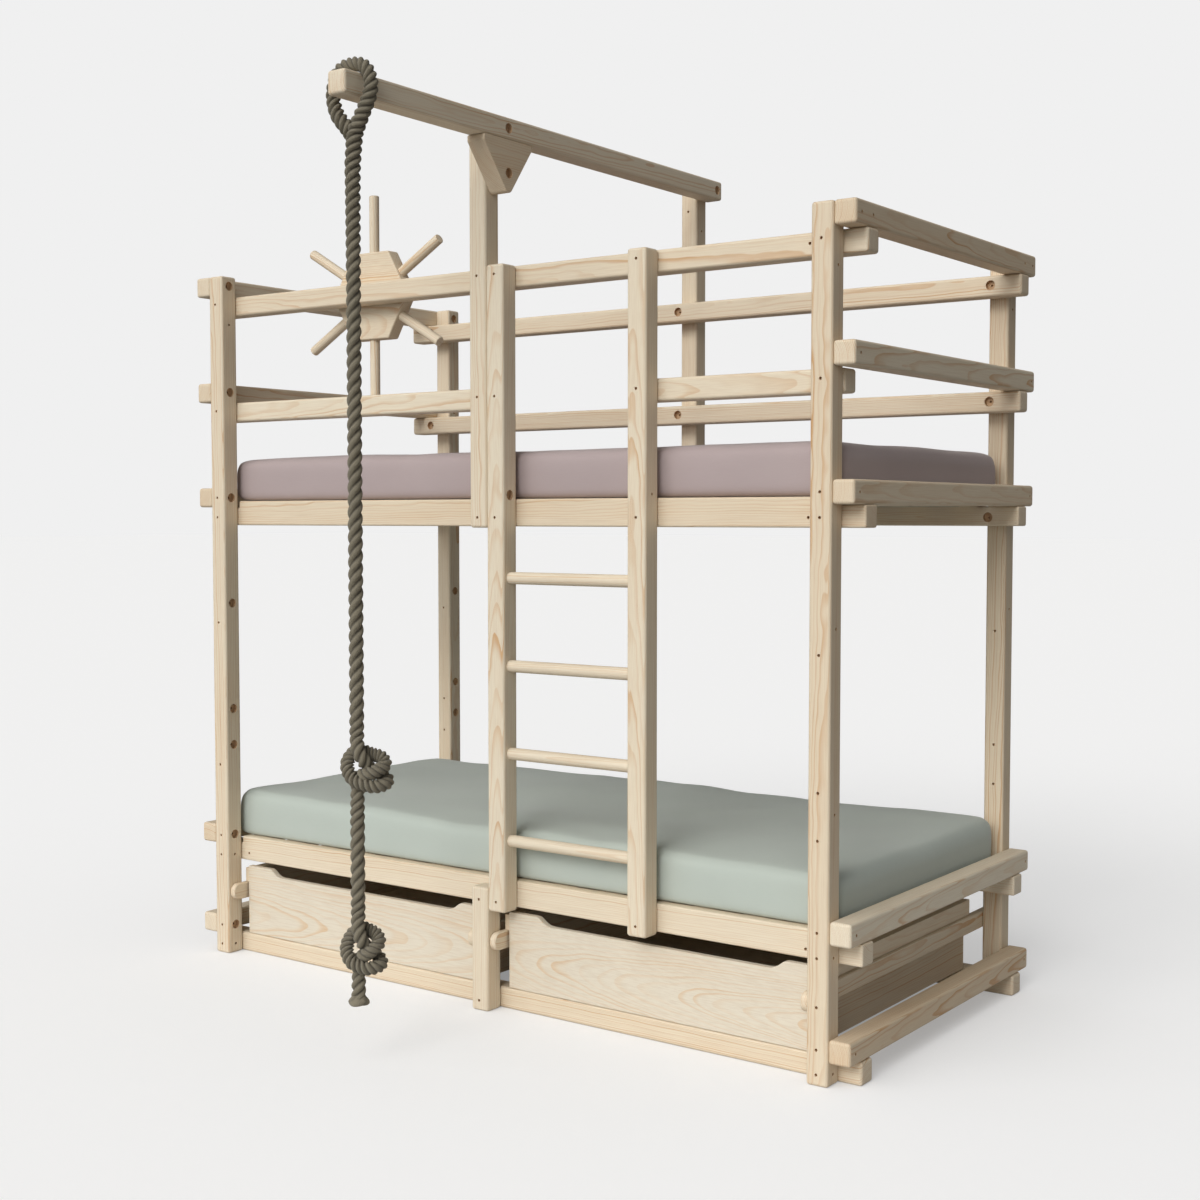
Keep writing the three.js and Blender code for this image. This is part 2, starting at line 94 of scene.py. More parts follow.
# ------------------------------------------------------------------ node helper
class Tree:
    """Short calls for building a material's nodes."""

    def __init__(self, name):
        self.mat = bpy.data.materials.new(name)
        self.mat.use_nodes = True
        self.t = self.mat.node_tree
        self.bsdf = self.t.nodes["Principled BSDF"]

    def new(self, kind, **kw):
        n = self.t.nodes.new(kind)
        for k, v in kw.items():
            setattr(n, k, v)
        return n

    def put(self, socket, v):
        if isinstance(v, bpy.types.NodeSocket):
            self.t.links.new(v, socket)
        elif v is not None:
            socket.default_value = v

    def attr(self, name, out="Vector"):
        n = self.new("ShaderNodeAttribute", attribute_name=name)
        return n.outputs[out]

    def m(self, op, a, b=None, c=None, clamp=False):
        n = self.new("ShaderNodeMath", operation=op, use_clamp=clamp)
        for i, v in enumerate((a, b, c)):
            if v is not None:
                self.put(n.inputs[i], v)
        return n.outputs[0]

    def v(self, op, a, b=None):
        n = self.new("ShaderNodeVectorMath", operation=op)
        self.put(n.inputs[0], a)
        if b is not None:
            self.put(n.inputs[1], b)
        return n.outputs["Value" if op in ("LENGTH", "DOT_PRODUCT", "DISTANCE") else "Vector"]

    def sep(self, a):
        n = self.new("ShaderNodeSeparateXYZ")
        self.put(n.inputs[0], a)
        return n.outputs[0], n.outputs[1], n.outputs[2]

    def com(self, x, y, z):
        n = self.new("ShaderNodeCombineXYZ")
        for i, v in enumerate((x, y, z)):
            self.put(n.inputs[i], v)
        return n.outputs[0]

    def step(self, x, a, b, lo=0.0, hi=1.0):
        n = self.new("ShaderNodeMapRange", interpolation_type="SMOOTHSTEP")
        self.put(n.inputs["Value"], x)
        self.put(n.inputs["From Min"], a)
        self.put(n.inputs["From Max"], b)
        n.inputs["To Min"].default_value, n.inputs["To Max"].default_value = lo, hi
        return n.outputs[0]

    def noise(self, vec, scale=1.0, detail=2.0, rough=0.5, out="Fac", dist=0.0):
        n = self.new("ShaderNodeTexNoise")
        self.put(n.inputs["Vector"], vec)
        n.inputs["Scale"].default_value = scale
        n.inputs["Detail"].default_value = detail
        n.inputs["Roughness"].default_value = rough
        n.inputs["Distortion"].default_value = dist
        return n.outputs[out]

    def white(self, w):
        n = self.new("ShaderNodeTexWhiteNoise", noise_dimensions="1D")
        self.put(n.inputs["W"], w)
        return n.outputs["Value"], n.outputs["Color"]

    def mix(self, f, a, b, blend="MIX"):
        n = self.new("ShaderNodeMix", data_type="RGBA", blend_type=blend)
        self.put(n.inputs["Factor"], f)
        self.put(n.inputs["A"], a) if not isinstance(n.inputs["A"], bpy.types.NodeSocketFloat) else None
        # sockets of the colour form
        ins = [i for i in n.inputs if i.type == "RGBA"]
        self.put(ins[0], a)
        self.put(ins[1], b)
        return [o for o in n.outputs if o.type == "RGBA"][0]

    def bump(self, height, strength, distance):
        n = self.new("ShaderNodeBump")
        n.inputs["Strength"].default_value = strength
        n.inputs["Distance"].default_value = distance
        self.put(n.inputs["Height"], height)
        self.t.links.new(n.outputs[0], self.bsdf.inputs["Normal"])
        return n


def srgb(h, a=1.0):
    c = [int(h[i:i + 2], 16) / 255 for i in (1, 3, 5)]
    return tuple([x / 12.92 if x <= 0.04045 else ((x + 0.055) / 1.055) ** 2.4 for x in c] + [a])


# ------------------------------------------------------------------ materials
def pine_material(name, early, late, strength, shade=None):
    """Pine with growth rings about the pith, fibres along it and a few knots. The grain attribute holds each point's
    place in its own log, in metres: x and y from the pith, z along it."""
    k = Tree(name)
    g = k.attr("grain")
    sd, tone = k.attr("seed", "Fac"), k.attr("tone", "Fac")
    gx, gy, gz = k.sep(g)
    # a branch in some of the cells along the log
    q = k.m("ADD", k.m("MULTIPLY", gz, 1 / 0.47), k.m("MULTIPLY", sd, 7.31))
    cell, fr = k.m("FLOOR", q), k.m("FRACT", q)
    _, col = k.white(k.m("ADD", cell, k.m("MULTIPLY", sd, 113.0)))
    r1, r2, r3 = k.sep(col)
    zk = k.m("MULTIPLY", k.m("SUBTRACT", fr, k.m("MULTIPLY_ADD", r1, 0.4, 0.3)), 0.47)
    ang = k.m("MULTIPLY", r2, 2 * math.pi)
    ca, sa = k.m("COSINE", ang), k.m("SINE", ang)
    al = k.m("ADD", k.m("MULTIPLY", gx, ca), k.m("MULTIPLY", gy, sa))
    pe = k.m("SUBTRACT", k.m("MULTIPLY", gx, sa), k.m("MULTIPLY", gy, ca))
    zz = k.m("MULTIPLY_ADD", al, 0.22, zk)
    dk = k.m("SQRT", k.m("ADD", k.m("MULTIPLY", pe, pe), k.m("MULTIPLY", k.m("MULTIPLY", zz, zz), 0.6)))
    there = k.m("MULTIPLY", k.m("GREATER_THAN", al, 0.002), k.m("GREATER_THAN", r3, 0.955))
    rk = k.m("MULTIPLY_ADD", r3, 0.010, -0.0045)
    knot = k.m("MULTIPLY", k.step(dk, rk, k.m("MULTIPLY", rk, 0.72)), there)
    rim = k.m("MULTIPLY", k.m("MULTIPLY", k.step(dk, k.m("MULTIPLY", rk, 1.35), rk), k.step(dk, k.m("MULTIPLY", rk, 0.7), rk)), there)
    sw = k.m("DIVIDE", dk, 0.021)
    swirl = k.m("MULTIPLY", k.m("EXPONENT", k.m("MULTIPLY", k.m("MULTIPLY", sw, sw), -1.0)), there)
    # rings
    off = k.com(k.m("MULTIPLY", sd, 31.0), k.m("MULTIPLY", sd, 17.0), 0.0)
    wob = k.noise(k.v("ADD", k.v("MULTIPLY", g, (9.0, 9.0, 2.6)), off), 1.0, 2.0, 0.45)
    wav = k.noise(k.v("ADD", k.v("MULTIPLY", g, (30.0, 30.0, 13.0)), off), 1.0, 1.0, 0.4)
    r = k.m("SQRT", k.m("ADD", k.m("MULTIPLY", gx, gx), k.m("MULTIPLY", gy, gy)))
    rr = k.m("SUBTRACT", k.m("MULTIPLY_ADD", k.m("SUBTRACT", wob, 0.5), 0.0105, r), k.m("MULTIPLY", swirl, 0.010))
    rr = k.m("MULTIPLY_ADD", k.m("SUBTRACT", wav, 0.5), 0.0032, rr)
    ring = k.m("MULTIPLY", rr, 1 / 0.0036)
    var = k.noise(k.com(k.m("MULTIPLY", ring, 0.33), k.m("MULTIPLY", sd, 9.0), 0.0), 1.0, 1.0)
    ring = k.m("MULTIPLY_ADD", var, 2.4, ring)
    f, rid = k.m("FRACT", ring), k.m("FLOOR", ring)
    amp, _ = k.white(k.m("ADD", rid, k.m("MULTIPLY", sd, 57.0)))
    late_f = k.m("MULTIPLY", k.step(f, 0.52, 0.93), k.step(f, 1.0, 0.95))
    late_f = k.m("MULTIPLY", late_f, k.m("MULTIPLY_ADD", k.m("MULTIPLY", amp, amp), 0.85, 0.3))
    # fibres and patches
    fib = k.noise(k.v("MULTIPLY", g, (520.0, 520.0, 9.0)), 1.0, 3.0, 0.6)
    patch = k.noise(k.v("ADD", k.v("MULTIPLY", g, (16.0, 16.0, 2.4)), off), 1.0, 2.0)
    fac = k.m("MULTIPLY", late_f, strength, clamp=True)
    fac = k.m("MULTIPLY", fac, k.step(patch, 0.25, 0.75, 0.55, 1.15))
    c = k.mix(fac, early, late)
    c = k.mix(k.m("MULTIPLY", tone, 0.5, clamp=True), c, srgb("#d9b583"), "MULTIPLY")
    c = k.mix(k.step(fib, 0.35, 0.75, 0.0, 0.16), c, srgb("#b98d5c"), "MULTIPLY")
    c = k.mix(k.step(patch, 0.45, 0.8, 0.0, 0.10), c, srgb("#e6c08c"), "MULTIPLY")
    c = k.mix(k.m("MULTIPLY", rim, 0.55), c, srgb("#8f5f35"))
    kring = k.m("MULTIPLY_ADD", k.m("SINE", k.m("MULTIPLY", dk, 2600.0)), 0.12, 0.62)
    c = k.mix(k.m("MULTIPLY", knot, kring), c, srgb("#a97242"))
    if shade:
        c = k.mix(shade[1], c, srgb(shade[0]), "MULTIPLY")
    k.put(k.bsdf.inputs["Base Color"], c)
    rough = k.m("MULTIPLY_ADD", late_f, -0.06, 0.58)
    rough = k.m("MULTIPLY_ADD", k.m("SUBTRACT", fib, 0.5), 0.12, rough)
    k.put(k.bsdf.inputs["Roughness"], rough)
    k.bsdf.inputs["Specular IOR Level"].default_value = 0.35
    h = k.m("MULTIPLY_ADD", late_f, 0.5, k.m("MULTIPLY", fib, 0.5))
    k.bump(h, 0.35, 0.0004)
    return k.mat


PINE = pine_material("pine", srgb("#e7dcc6"), srgb("#cb9a60"), 0.70)
PALE = pine_material("pine_pale", srgb("#ded5c3"), srgb("#d3a25f"), 0.48)
# hole walls: darker end grain, partly painted shade that deepens the holes beyond their own shadow
BORE_GRAIN_AND_SHADE = pine_material("pine_bore", srgb("#c9ab88"), srgb("#a58460"), 0.5)


def steel_material():
    k = Tree("steel")
    p = k.new("ShaderNodeTexCoord").outputs["Object"]
    n = k.noise(k.v("MULTIPLY", p, (300.0, 300.0, 300.0)), 1.0, 3.0)
    c = k.mix(n, srgb("#8a8a88"), srgb("#a9a7a2"))
    k.put(k.bsdf.inputs["Base Color"], c)
    k.put(k.bsdf.inputs["Roughness"], k.m("MULTIPLY_ADD", n, 0.2, 0.28))
    k.bsdf.inputs["Metallic"].default_value = 1.0
    k.bump(n, 0.15, 0.0003)
    return k.mat


STEEL = steel_material()


def rope_material():
    """Laid rope: yarn lines run across each strand, with painted shade darkening the grooves. ropeuv: x length in
    metres, y distance round the strand in metres, z depth in the groove from 0 (crown) to 1, which also sets the
    painted groove shade."""
    k = Tree("rope")
    u, v, w = k.sep(k.attr("ropeuv"))
    lines = k.m("SINE", k.m("MULTIPLY_ADD", v, 2 * math.pi / 0.0019, k.m("MULTIPLY", u, 2 * math.pi / 0.009)))
    pos = k.com(k.m("MULTIPLY", u, 60.0), k.m("MULTIPLY", v, 300.0), w)
    n1 = k.noise(pos, 1.0, 3.0, 0.6)
    n2 = k.noise(k.com(k.m("MULTIPLY", u, 9.0), k.m("MULTIPLY", v, 40.0), 3.0), 1.0, 2.0)
    c = k.mix(n2, srgb("#787161"), srgb("#8e8673"))
    c = k.mix(k.step(lines, -0.2, 1.0, 0.0, 0.34), c, srgb("#5c5546"), "MIX")
    c = k.mix(k.step(n1, 0.3, 0.8, 0.0, 0.35), c, srgb("#9a917b"))
    # painted shade: the colour darkens towards the bottom of the grooves between strands
    c = k.mix(k.step(w, 0.4, 1.0, 0.0, 0.5), c, srgb("#332f26"))
    k.put(k.bsdf.inputs["Base Color"], c)
    k.bsdf.inputs["Roughness"].default_value = 0.9
    k.bsdf.inputs["Specular IOR Level"].default_value = 0.2
    k.bsdf.inputs["Sheen Weight"].default_value = 0.15
    k.bsdf.inputs["Sheen Roughness"].default_value = 0.6
    k.bump(k.m("MULTIPLY_ADD", n1, 0.5, k.m("MULTIPLY", lines, 0.5)), 0.6, 0.0009)
    return k.mat


ROPE = rope_material()


def fabric_material(name, light, dark):
    """Smooth woven cotton cover: fine weave in the bump, faint slubs in the colour. The object's own coordinates give
    the place on the cloth.
    """
    k = Tree(name)
    p = k.new("ShaderNodeTexCoord").outputs["Object"]
    x, y, z = k.sep(p)
    a = k.m("SINE", k.m("MULTIPLY", k.m("ADD", x, z), 2 * math.pi / 0.0011))
    b = k.m("SINE", k.m("MULTIPLY", k.m("ADD", y, z), 2 * math.pi / 0.0011))
    weave = k.m("MULTIPLY", a, b)
    slub = k.noise(k.v("MULTIPLY", p, (40.0, 700.0, 700.0)), 1.0, 2.0)
    slub2 = k.noise(k.v("MULTIPLY", p, (700.0, 40.0, 700.0)), 1.0, 2.0)
    soft = k.noise(p, 5.0, 3.0)
    fac = k.m("MULTIPLY_ADD", soft, 0.5, k.m("MULTIPLY", k.m("ADD", slub, slub2), 0.25), clamp=True)
    c = k.mix(fac, light, dark)
    c = k.mix(k.m("MULTIPLY_ADD", weave, 0.04, 0.04), c, dark)
    k.put(k.bsdf.inputs["Base Color"], c)
    k.put(k.bsdf.inputs["Roughness"], k.m("MULTIPLY_ADD", slub, 0.1, 0.72))
    k.bsdf.inputs["Specular IOR Level"].default_value = 0.25
    k.bsdf.inputs["Sheen Weight"].default_value = 0.25
    k.bsdf.inputs["Sheen Roughness"].default_value = 0.45
    k.bump(k.m("ADD", k.m("MULTIPLY", weave, 0.3), k.m("MULTIPLY", k.m("ADD", slub, slub2), 0.3)), 0.25, 0.0004)
    return k.mat


MAUVE = fabric_material("cover_mauve", srgb("#b6a8a7"), srgb("#a89897"))
SAGE = fabric_material("cover_sage", srgb("#bec6bd"), srgb("#afb8b0"))
STRAP = fabric_material("strap", srgb("#cfc8b6"), srgb("#b5ad99"))

# ------------------------------------------------------------------ the rope, which comes first
Z_AXIS = np.array([0.0, 0.0, 1.0])
VIEW_R = np.array([0.8098, 0.5867, 0.0])
VIEW_F = np.array([-0.5867, 0.8098, 0.0])
ROPE_X = BEAM_C[0]


def rope_points():
    """Control points of the rope's centreline in millimetres, with the lay (length of one turn of a strand) and the
    radius at each. It starts in the splice under the beam, goes over the beam and comes down to the two knots."""
    pts = []
    zc, R = BEAM_C[1], 17.3

    for x, z, y, lay, r in ((-1, -156, 6, 52, 8), (-2, -142, 8, 52, 11.5), (-6, -126, 11, 52, 15), (-13, -109, 12, 52, 17.5), (-21.5, -92, 9, 52, 19),
                            (-36, -74, 4, 52, 18.4), (-47, -58, 1, 51, 18), (-56, -35, 0, 50, 17.4), (-59.8, -12, 0, 49, 17), (-57, 8, 0, 48, 16.8),
                            (-50, 26, 0, 48, 16.8), (-38, 38.5, 0, 48, 16.8), (-20, 46, 0, 48, 16.8), (0, 47.5, 0, 48, 16.8), (20, 46, 0, 48, 16.8),
                            (38, 38.5, 0, 48, 16.8), (50, 26, 0, 48, 16.8), (57, 8, 0, 48, 16.8), (59, -4, 0, 49, 17), (54, -28, 0, 50, 17.4),
                            (43, -49, -1, 51, 18), (32, -68, -2, 52, 18.5), (22, -86, -3, 52, 19.2), (12.6, -103, -3, 52, 19.5), (9, -120, -3, 54, 19.5),
                            (6, -135, -2, 56, 19.4), (3, -155, -1, 60, 19.2), (0, -180, 0, 64, 19), (0, -200, 0, 66, 18.5)):
        pts.append((ROPE_X + x, ROPE_Y + y, zc + z, lay, r))

    def down(z, lay, r=R):
        pts.append((ROPE_X, ROPE_Y, z, lay, r))

    down(1990, 66, 17.9); down(1900, 72, 17.5); down(1800, 80)
    for z in (1650, 1500, 1350, 1200, 1050, 920):
        down(z, 85)

    def knot(z0, shape):
        """shape: x to the right and z up as the ladder-side camera sees it, and y away from that camera."""
        at = np.linspace(0, 1, len(shape))
        lays = np.interp(at, (0, 0.05, 0.1, 0.16, 0.4, 0.5, 0.6, 0.72, 0.82, 0.88, 0.94, 1), (60, 54, 46, 39, 39, 36, 31, 31, 35, 42, 50, 60))
        for (x, z, y), lay in zip(shape, lays):
            p = np.array([ROPE_X, ROPE_Y, z0]) + VIEW_R * x + VIEW_F * y + Z_AXIS * z
            pts.append((p[0], p[1], p[2], lay, 16.8))

    down(830, 85); down(775, 60)
    upper = [(5, 47, -13), (17, 24, -9), (26, 6, 9), (42, -6, 18), (55, -14, 20), (67, -20, 14), (68, -26, 2), (62, -30, -12), (42, -33, -18),
             (14, -27, -17), (-8, -17, -12), (-23, 12, -1), (-18, 31, 9), (-2, 45, 18), (16, 42, 20), (33, 36, 18), (54, 31, 10), (65, 16, -3),
             (48, 3, -16), (27, -5, -17), (13, -9, -7), (2, -20, 10), (0, -35, 13), (0, -56, 6)]
    knot(690, upper)
    down(590, 60); down(540, 85)
    for z in (480, 420):
        down(z, 85)
    down(365, 60)
    lower = [(3, 51, -13), (10, 30, -10), (17, 12, 8), (30, -2, 18), (44, -14, 19), (52, -22, 8), (49, -27, -8), (30, -31, -18), (10, -29, -17),
             (-15, -17, -12), (-27, 7, -1), (-24, 27, 8), (-12, 45, 16), (3, 54, 20), (16, 52, 20), (25, 48, 18), (39, 42, 12), (49, 27, -4),
             (31, 8, -17), (14, -3, -12), (3, -15, 6), (0, -34, 12), (0, -58, 5)]
    knot(266, lower)
    down(192, 60, 16.8); down(176, 62, 17); down(163, 66, 17.6); down(ROPE_BOTTOM, 72, 17.6)
    return np.array(pts, float)


def resample(ctrl, step):
    """Centripetal Catmull-Rom through the control points, at equal steps; lay and radius go linearly."""
    p = ctrl[:, :3]
    p = np.vstack([2 * p[0] - p[1], p, 2 * p[-1] - p[-2]])
    out, extra = [], []
    for i in range(1, len(p) - 2):
        p0, p1, p2, p3 = p[i - 1:i + 3]
        t0 = 0.0
        t1 = t0 + max(np.linalg.norm(p1 - p0), 1e-6) ** 0.5
        t2 = t1 + max(np.linalg.norm(p2 - p1), 1e-6) ** 0.5
        t3 = t2 + max(np.linalg.norm(p3 - p2), 1e-6) ** 0.5
        n = max(4, int(np.linalg.norm(p2 - p1) / step * 3))
        for t in np.linspace(t1, t2, n, endpoint=False):
            a1 = (t1 - t) / (t1 - t0) * p0 + (t - t0) / (t1 - t0) * p1
            a2 = (t2 - t) / (t2 - t1) * p1 + (t - t1) / (t2 - t1) * p2
            a3 = (t3 - t) / (t3 - t2) * p2 + (t - t2) / (t3 - t2) * p3
            b1 = (t2 - t) / (t2 - t0) * a1 + (t - t0) / (t2 - t0) * a2
            b2 = (t3 - t) / (t3 - t1) * a2 + (t - t1) / (t3 - t1) * a3
            out.append((t2 - t) / (t2 - t1) * b1 + (t - t1) / (t2 - t1) * b2)
            w = (t - t1) / (t2 - t1)
            extra.append(ctrl[i - 1, 3:] * (1 - w) + ctrl[i, 3:] * w)
    out.append(p[-2]); extra.append(ctrl[-1, 3:])
    out, extra = np.array(out), np.array(extra)
    s = np.concatenate([[0], np.cumsum(np.linalg.norm(np.diff(out, axis=0), axis=1))])
    q = np.linspace(0, s[-1], int(s[-1] / step) + 1)
    return (np.column_stack([np.interp(q, s, out[:, k]) for k in range(3)]),
            np.column_stack([np.interp(q, s, extra[:, k]) for k in range(2)]), q)


def rope_end(phase):
    """The swollen lower end, where the three strands are bound and spread."""
    prof = [(169, 12), (167.5, 16.0), (164, 17.8), (160.5, 20.8), (157, 23.6), (153, 25.0), (149.5, 24.4), (147, 21.5), (145.6, 16), (145.2, 8)]
    M = 48
    verts, uv, faces = [], [], []
    for i, (z, r) in enumerate(prof):
        for j in range(M):
            a = j / M * 2 * math.pi
            lobe = 0.5 + 0.5 * math.cos(3 * (a - phase + 0.05 * (167 - z)))
            rr = r * (0.91 + 0.09 * lobe ** 0.6 + 0.025 * math.sin(2 * a + 0.7))
            verts.append((ROPE_X + rr * math.cos(a), ROPE_Y + rr * math.sin(a), z - 1.6 * lobe * (r > 10)))
            # the third value darkens the colour between the lobes: painted shade
            uv.append((z / 1000, a * 0.011, 0.75 * (1 - lobe) ** 1.5))
    for i in range(len(prof) - 1):
        for j in range(M):
            k = (j + 1) % M
            faces.append((i * M + j, i * M + k, (i + 1) * M + k, (i + 1) * M + j))
    for z, base in ((169.6, 0), (145.0, (len(prof) - 1) * M)):
        verts.append((ROPE_X, ROPE_Y, z)); uv.append((z / 1000, 0, 0.2))
        faces += [(base + j, base + (j + 1) % M, len(verts) - 1) for j in range(M)]
    me = bpy.data.meshes.new("climbing_rope_end")
    me.from_pydata([tuple(x) for x in S(verts)], [], faces)
    at = me.attributes.new("ropeuv", "FLOAT_VECTOR", "POINT")
    at.data.foreach_set("vector", np.asarray(uv, np.float32).ravel())
    me.materials.append(ROPE)
    bm = bmesh.new(); bm.from_mesh(me)
    bmesh.ops.recalc_face_normals(bm, faces=bm.faces)
    bm.to_mesh(me); bm.free()
    me.shade_smooth()
    ob = bpy.data.objects.new("climbing_rope_end", me)
    bpy.context.scene.collection.objects.link(ob)
    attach(ob, "rope")
    return ob


def build_rope():
    path, ex, s = resample(rope_points(), 2.4)
    # smooth the control polygon's small kinks
    for _ in range(6):
        path[1:-1] = path[1:-1] * 0.5 + 0.25 * (path[:-2] + path[2:])
    n = len(path)
    tan = np.gradient(path, axis=0)
    tan /= np.linalg.norm(tan, axis=1)[:, None]
    nor = np.zeros_like(path)
    v = np.cross(tan[0], [0, 1, 0]); nor[0] = v / np.linalg.norm(v)
    for i in range(1, n):
        v = nor[i - 1] - tan[i] * (nor[i - 1] @ tan[i])
        nor[i] = v / np.linalg.norm(v)
    bi = np.cross(tan, nor)
    turn = np.concatenate([[0], np.cumsum(2 * math.pi * np.diff(s) / ex[1:, 0])])
    M = 33
    th = np.arange(M) / M * 2 * math.pi
    delta = (th + math.pi / 3) % (2 * math.pi / 3) - math.pi / 3      # from the nearest strand's middle
    rs, ro = 0.565, 0.435                                               # strand radius and offset, as shares of the rope's radius
    prof = ro * np.cos(delta) + np.sqrt(rs ** 2 - (ro * np.sin(delta)) ** 2)
    around = np.arctan2(prof * np.sin(delta), prof * np.cos(delta) - ro)
    groove = (1 - prof) / (1 - prof.min())
    verts, uv = [], []
    for i in range(n):
        r = ex[i, 1]
        a = th + turn[i]
        deep = prof + (0.965 - prof) * np.interp(ex[i, 0], (31, 60), (0.26, 0.0))      # strands lie closer together in the knots
        ring = path[i] + (np.cos(a)[:, None] * nor[i] + np.sin(a)[:, None] * bi[i]) * (deep * r)[:, None]
        verts.append(ring)
        uv.append(np.column_stack([np.full(M, s[i] / 1000), around * rs * r / 1000, groove]))
    verts = np.vstack(verts); uv = np.vstack(uv)
    faces = []
    for i in range(n - 1):
        a, b = i * M, (i + 1) * M
        for j in range(M):
            k = (j + 1) % M
            faces.append((a + j, a + k, b + k, b + j))
    # rounded ends: rings that close in
    for end, sign in ((0, -1), (n - 1, 1)):
        base = end * M
        prev = list(range(base, base + M))
        r = ex[end, 1]
        c = path[end]
        for sc, dz in ((0.93, 0.10), (0.80, 0.2), (0.55, 0.28), (0.28, 0.30)):
            ring = c + (verts[base:base + M] - c) * sc + tan[end] * sign * dz * r * 0.35
            start = len(verts)
            verts = np.vstack([verts, ring])
            # the closing rings and tip get a higher groove value: painted shade towards the tip
            uv = np.vstack([uv, uv[base:base + M] * [1, sc, 1] + [0.002 * sign, 0, 0.2 * (1 - sc)]])
            now = list(range(start, start + M))
            for j in range(M):
                k = (j + 1) % M
                q = (prev[j], prev[k], now[k], now[j])
                faces.append(q if sign > 0 else q[::-1])
            prev = now
        verts = np.vstack([verts, c + tan[end] * sign * 0.31 * r * 0.35])
        uv = np.vstack([uv, [s[end] / 1000, 0, 0.6]])
        tip = len(verts) - 1
        for j in range(M):
            k = (j + 1) % M
            q = (prev[j], prev[k], tip)
            faces.append(q if sign > 0 else q[::-1])
    me = bpy.data.meshes.new("climbing_rope")
    me.from_pydata([tuple(x) for x in S(verts)], [], [tuple(f) for f in faces])
    at = me.attributes.new("ropeuv", "FLOAT_VECTOR", "POINT")
    at.data.foreach_set("vector", uv.astype(np.float32).ravel())
    me.materials.append(ROPE)
    me.shade_smooth()
    ob = bpy.data.objects.new("climbing_rope", me)
    bpy.context.scene.collection.objects.link(ob)
    bm = bmesh.new(); bm.from_mesh(me)
    bmesh.ops.recalc_face_normals(bm, faces=bm.faces)
    bm.to_mesh(me); bm.free()
    end = rope_end(turn[-1])
    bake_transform(ob)
    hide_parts("rope_eye", "rope_line")
    return ob, s[-1]


rope, ROPE_LENGTH = build_rope()


# ------------------------------------------------------------------ mesh parts of pine
class Part:
    """Vertices in millimetres with faces, a material number for each face, and the grain of each vertex."""

    def __init__(self, v, f, mi=None):
        self.v, self.f = np.asarray(v, float).reshape(-1, 3), [tuple(x) for x in f]
        self.mi = list(mi) if mi is not None else [0] * len(self.f)
        self.g = np.zeros_like(self.v); self.seed = np.zeros(len(self.v)); self.tone = np.zeros(len(self.v))

    def grain(self, key, axis, pith=None, tilt=None, tone=None):
        """Sets where the piece lies in its log. axis is the fibre direction; pith is from the piece's middle to the
        pith, in mm across the other two axes; tilt is how far the pith goes across for each mm along."""
        rnd = random.Random("grain " + key)
        a, b = [i for i in range(3) if i != axis]
        lo, hi = self.v.min(0), self.v.max(0)
        c = (lo + hi) / 2
        if pith is None:
            ang, d = rnd.uniform(0, 2 * math.pi), rnd.uniform(35, 95)
            pith = (d * math.cos(ang), d * math.sin(ang))
        else:
            rnd.random(); rnd.random()
        if tilt is None:
            tilt = (rnd.uniform(-0.012, 0.012), rnd.uniform(-0.012, 0.012))
        l = self.v[:, axis] - c[axis]
        self.g = np.column_stack([self.v[:, a] - c[a] - pith[0] - tilt[0] * l, self.v[:, b] - c[b] - pith[1] - tilt[1] * l, l + rnd.uniform(0, 3000)]) / 1000
        self.seed = np.full(len(self.v), round(rnd.random(), 4))
        if isinstance(tone, tuple):        # from one end of the piece to the other
            w = (self.v[:, axis] - lo[axis]) / (hi[axis] - lo[axis])
            self.tone = tone[0] + (tone[1] - tone[0]) * w
        else:
            self.tone = np.full(len(self.v), rnd.uniform(0, 0.5) if tone is None else tone)
        return self

    def join(self, *others):
        for o in others:
            n = len(self.v)
            self.v = np.vstack([self.v, o.v]); self.g = np.vstack([self.g, o.g])
            self.seed = np.concatenate([self.seed, o.seed]); self.tone = np.concatenate([self.tone, o.tone])
            self.f += [tuple(i + n for i in f) for f in o.f]; self.mi += o.mi
        return self


def from_bm(bm):
    bm.verts.ensure_lookup_table(); bm.verts.index_update()
    p = Part([v.co[:] for v in bm.verts], [[v.index for v in f.verts] for f in bm.faces], [f.material_index for f in bm.faces])
    bm.free()
    return p


def rbox(lo, hi, r=8, seg=4):
    """Box with rounded edges."""
    bm = bmesh.new()
    bmesh.ops.create_cube(bm, size=1)
    lo, hi = Vector(lo), Vector(hi)
    for v in bm.verts:
        v.co = Vector([lo[i] + (v.co[i] + 0.5) * (hi[i] - lo[i]) for i in range(3)])
    bmesh.ops.bevel(bm, geom=list(bm.edges), offset=r, offset_type="OFFSET", segments=seg, profile=0.5, affect="EDGES", clamp_overlap=True)
    return from_bm(bm)


def prism(outline, plane, w0, w1, r=4, seg=3, angle=25):
    """Outline in two axes (plane, such as 'xz'), drawn out along the third from w0 to w1, with rounded edges."""
    ia, ib = ["xyz".index(c) for c in plane]
    iw = 3 - ia - ib
    bm = bmesh.new()

    def vert(p, w):
        c = [0, 0, 0]; c[ia], c[ib], c[iw] = p[0], p[1], w
        return bm.verts.new(c)

    bot, top = [vert(p, w0) for p in outline], [vert(p, w1) for p in outline]
    bm.faces.new(bot[::-1]); bm.faces.new(top)
    n = len(outline)
    for i in range(n):
        k = (i + 1) % n
        bm.faces.new((bot[i], bot[k], top[k], top[i]))
    bmesh.ops.recalc_face_normals(bm, faces=bm.faces)
    if r:
        edges = [e for e in bm.edges if len(e.link_faces) == 2 and e.calc_face_angle(0) > math.radians(angle)]
        bmesh.ops.bevel(bm, geom=edges, offset=r, offset_type="OFFSET", segments=seg, profile=0.5, affect="EDGES", clamp_overlap=True)
    return from_bm(bm)


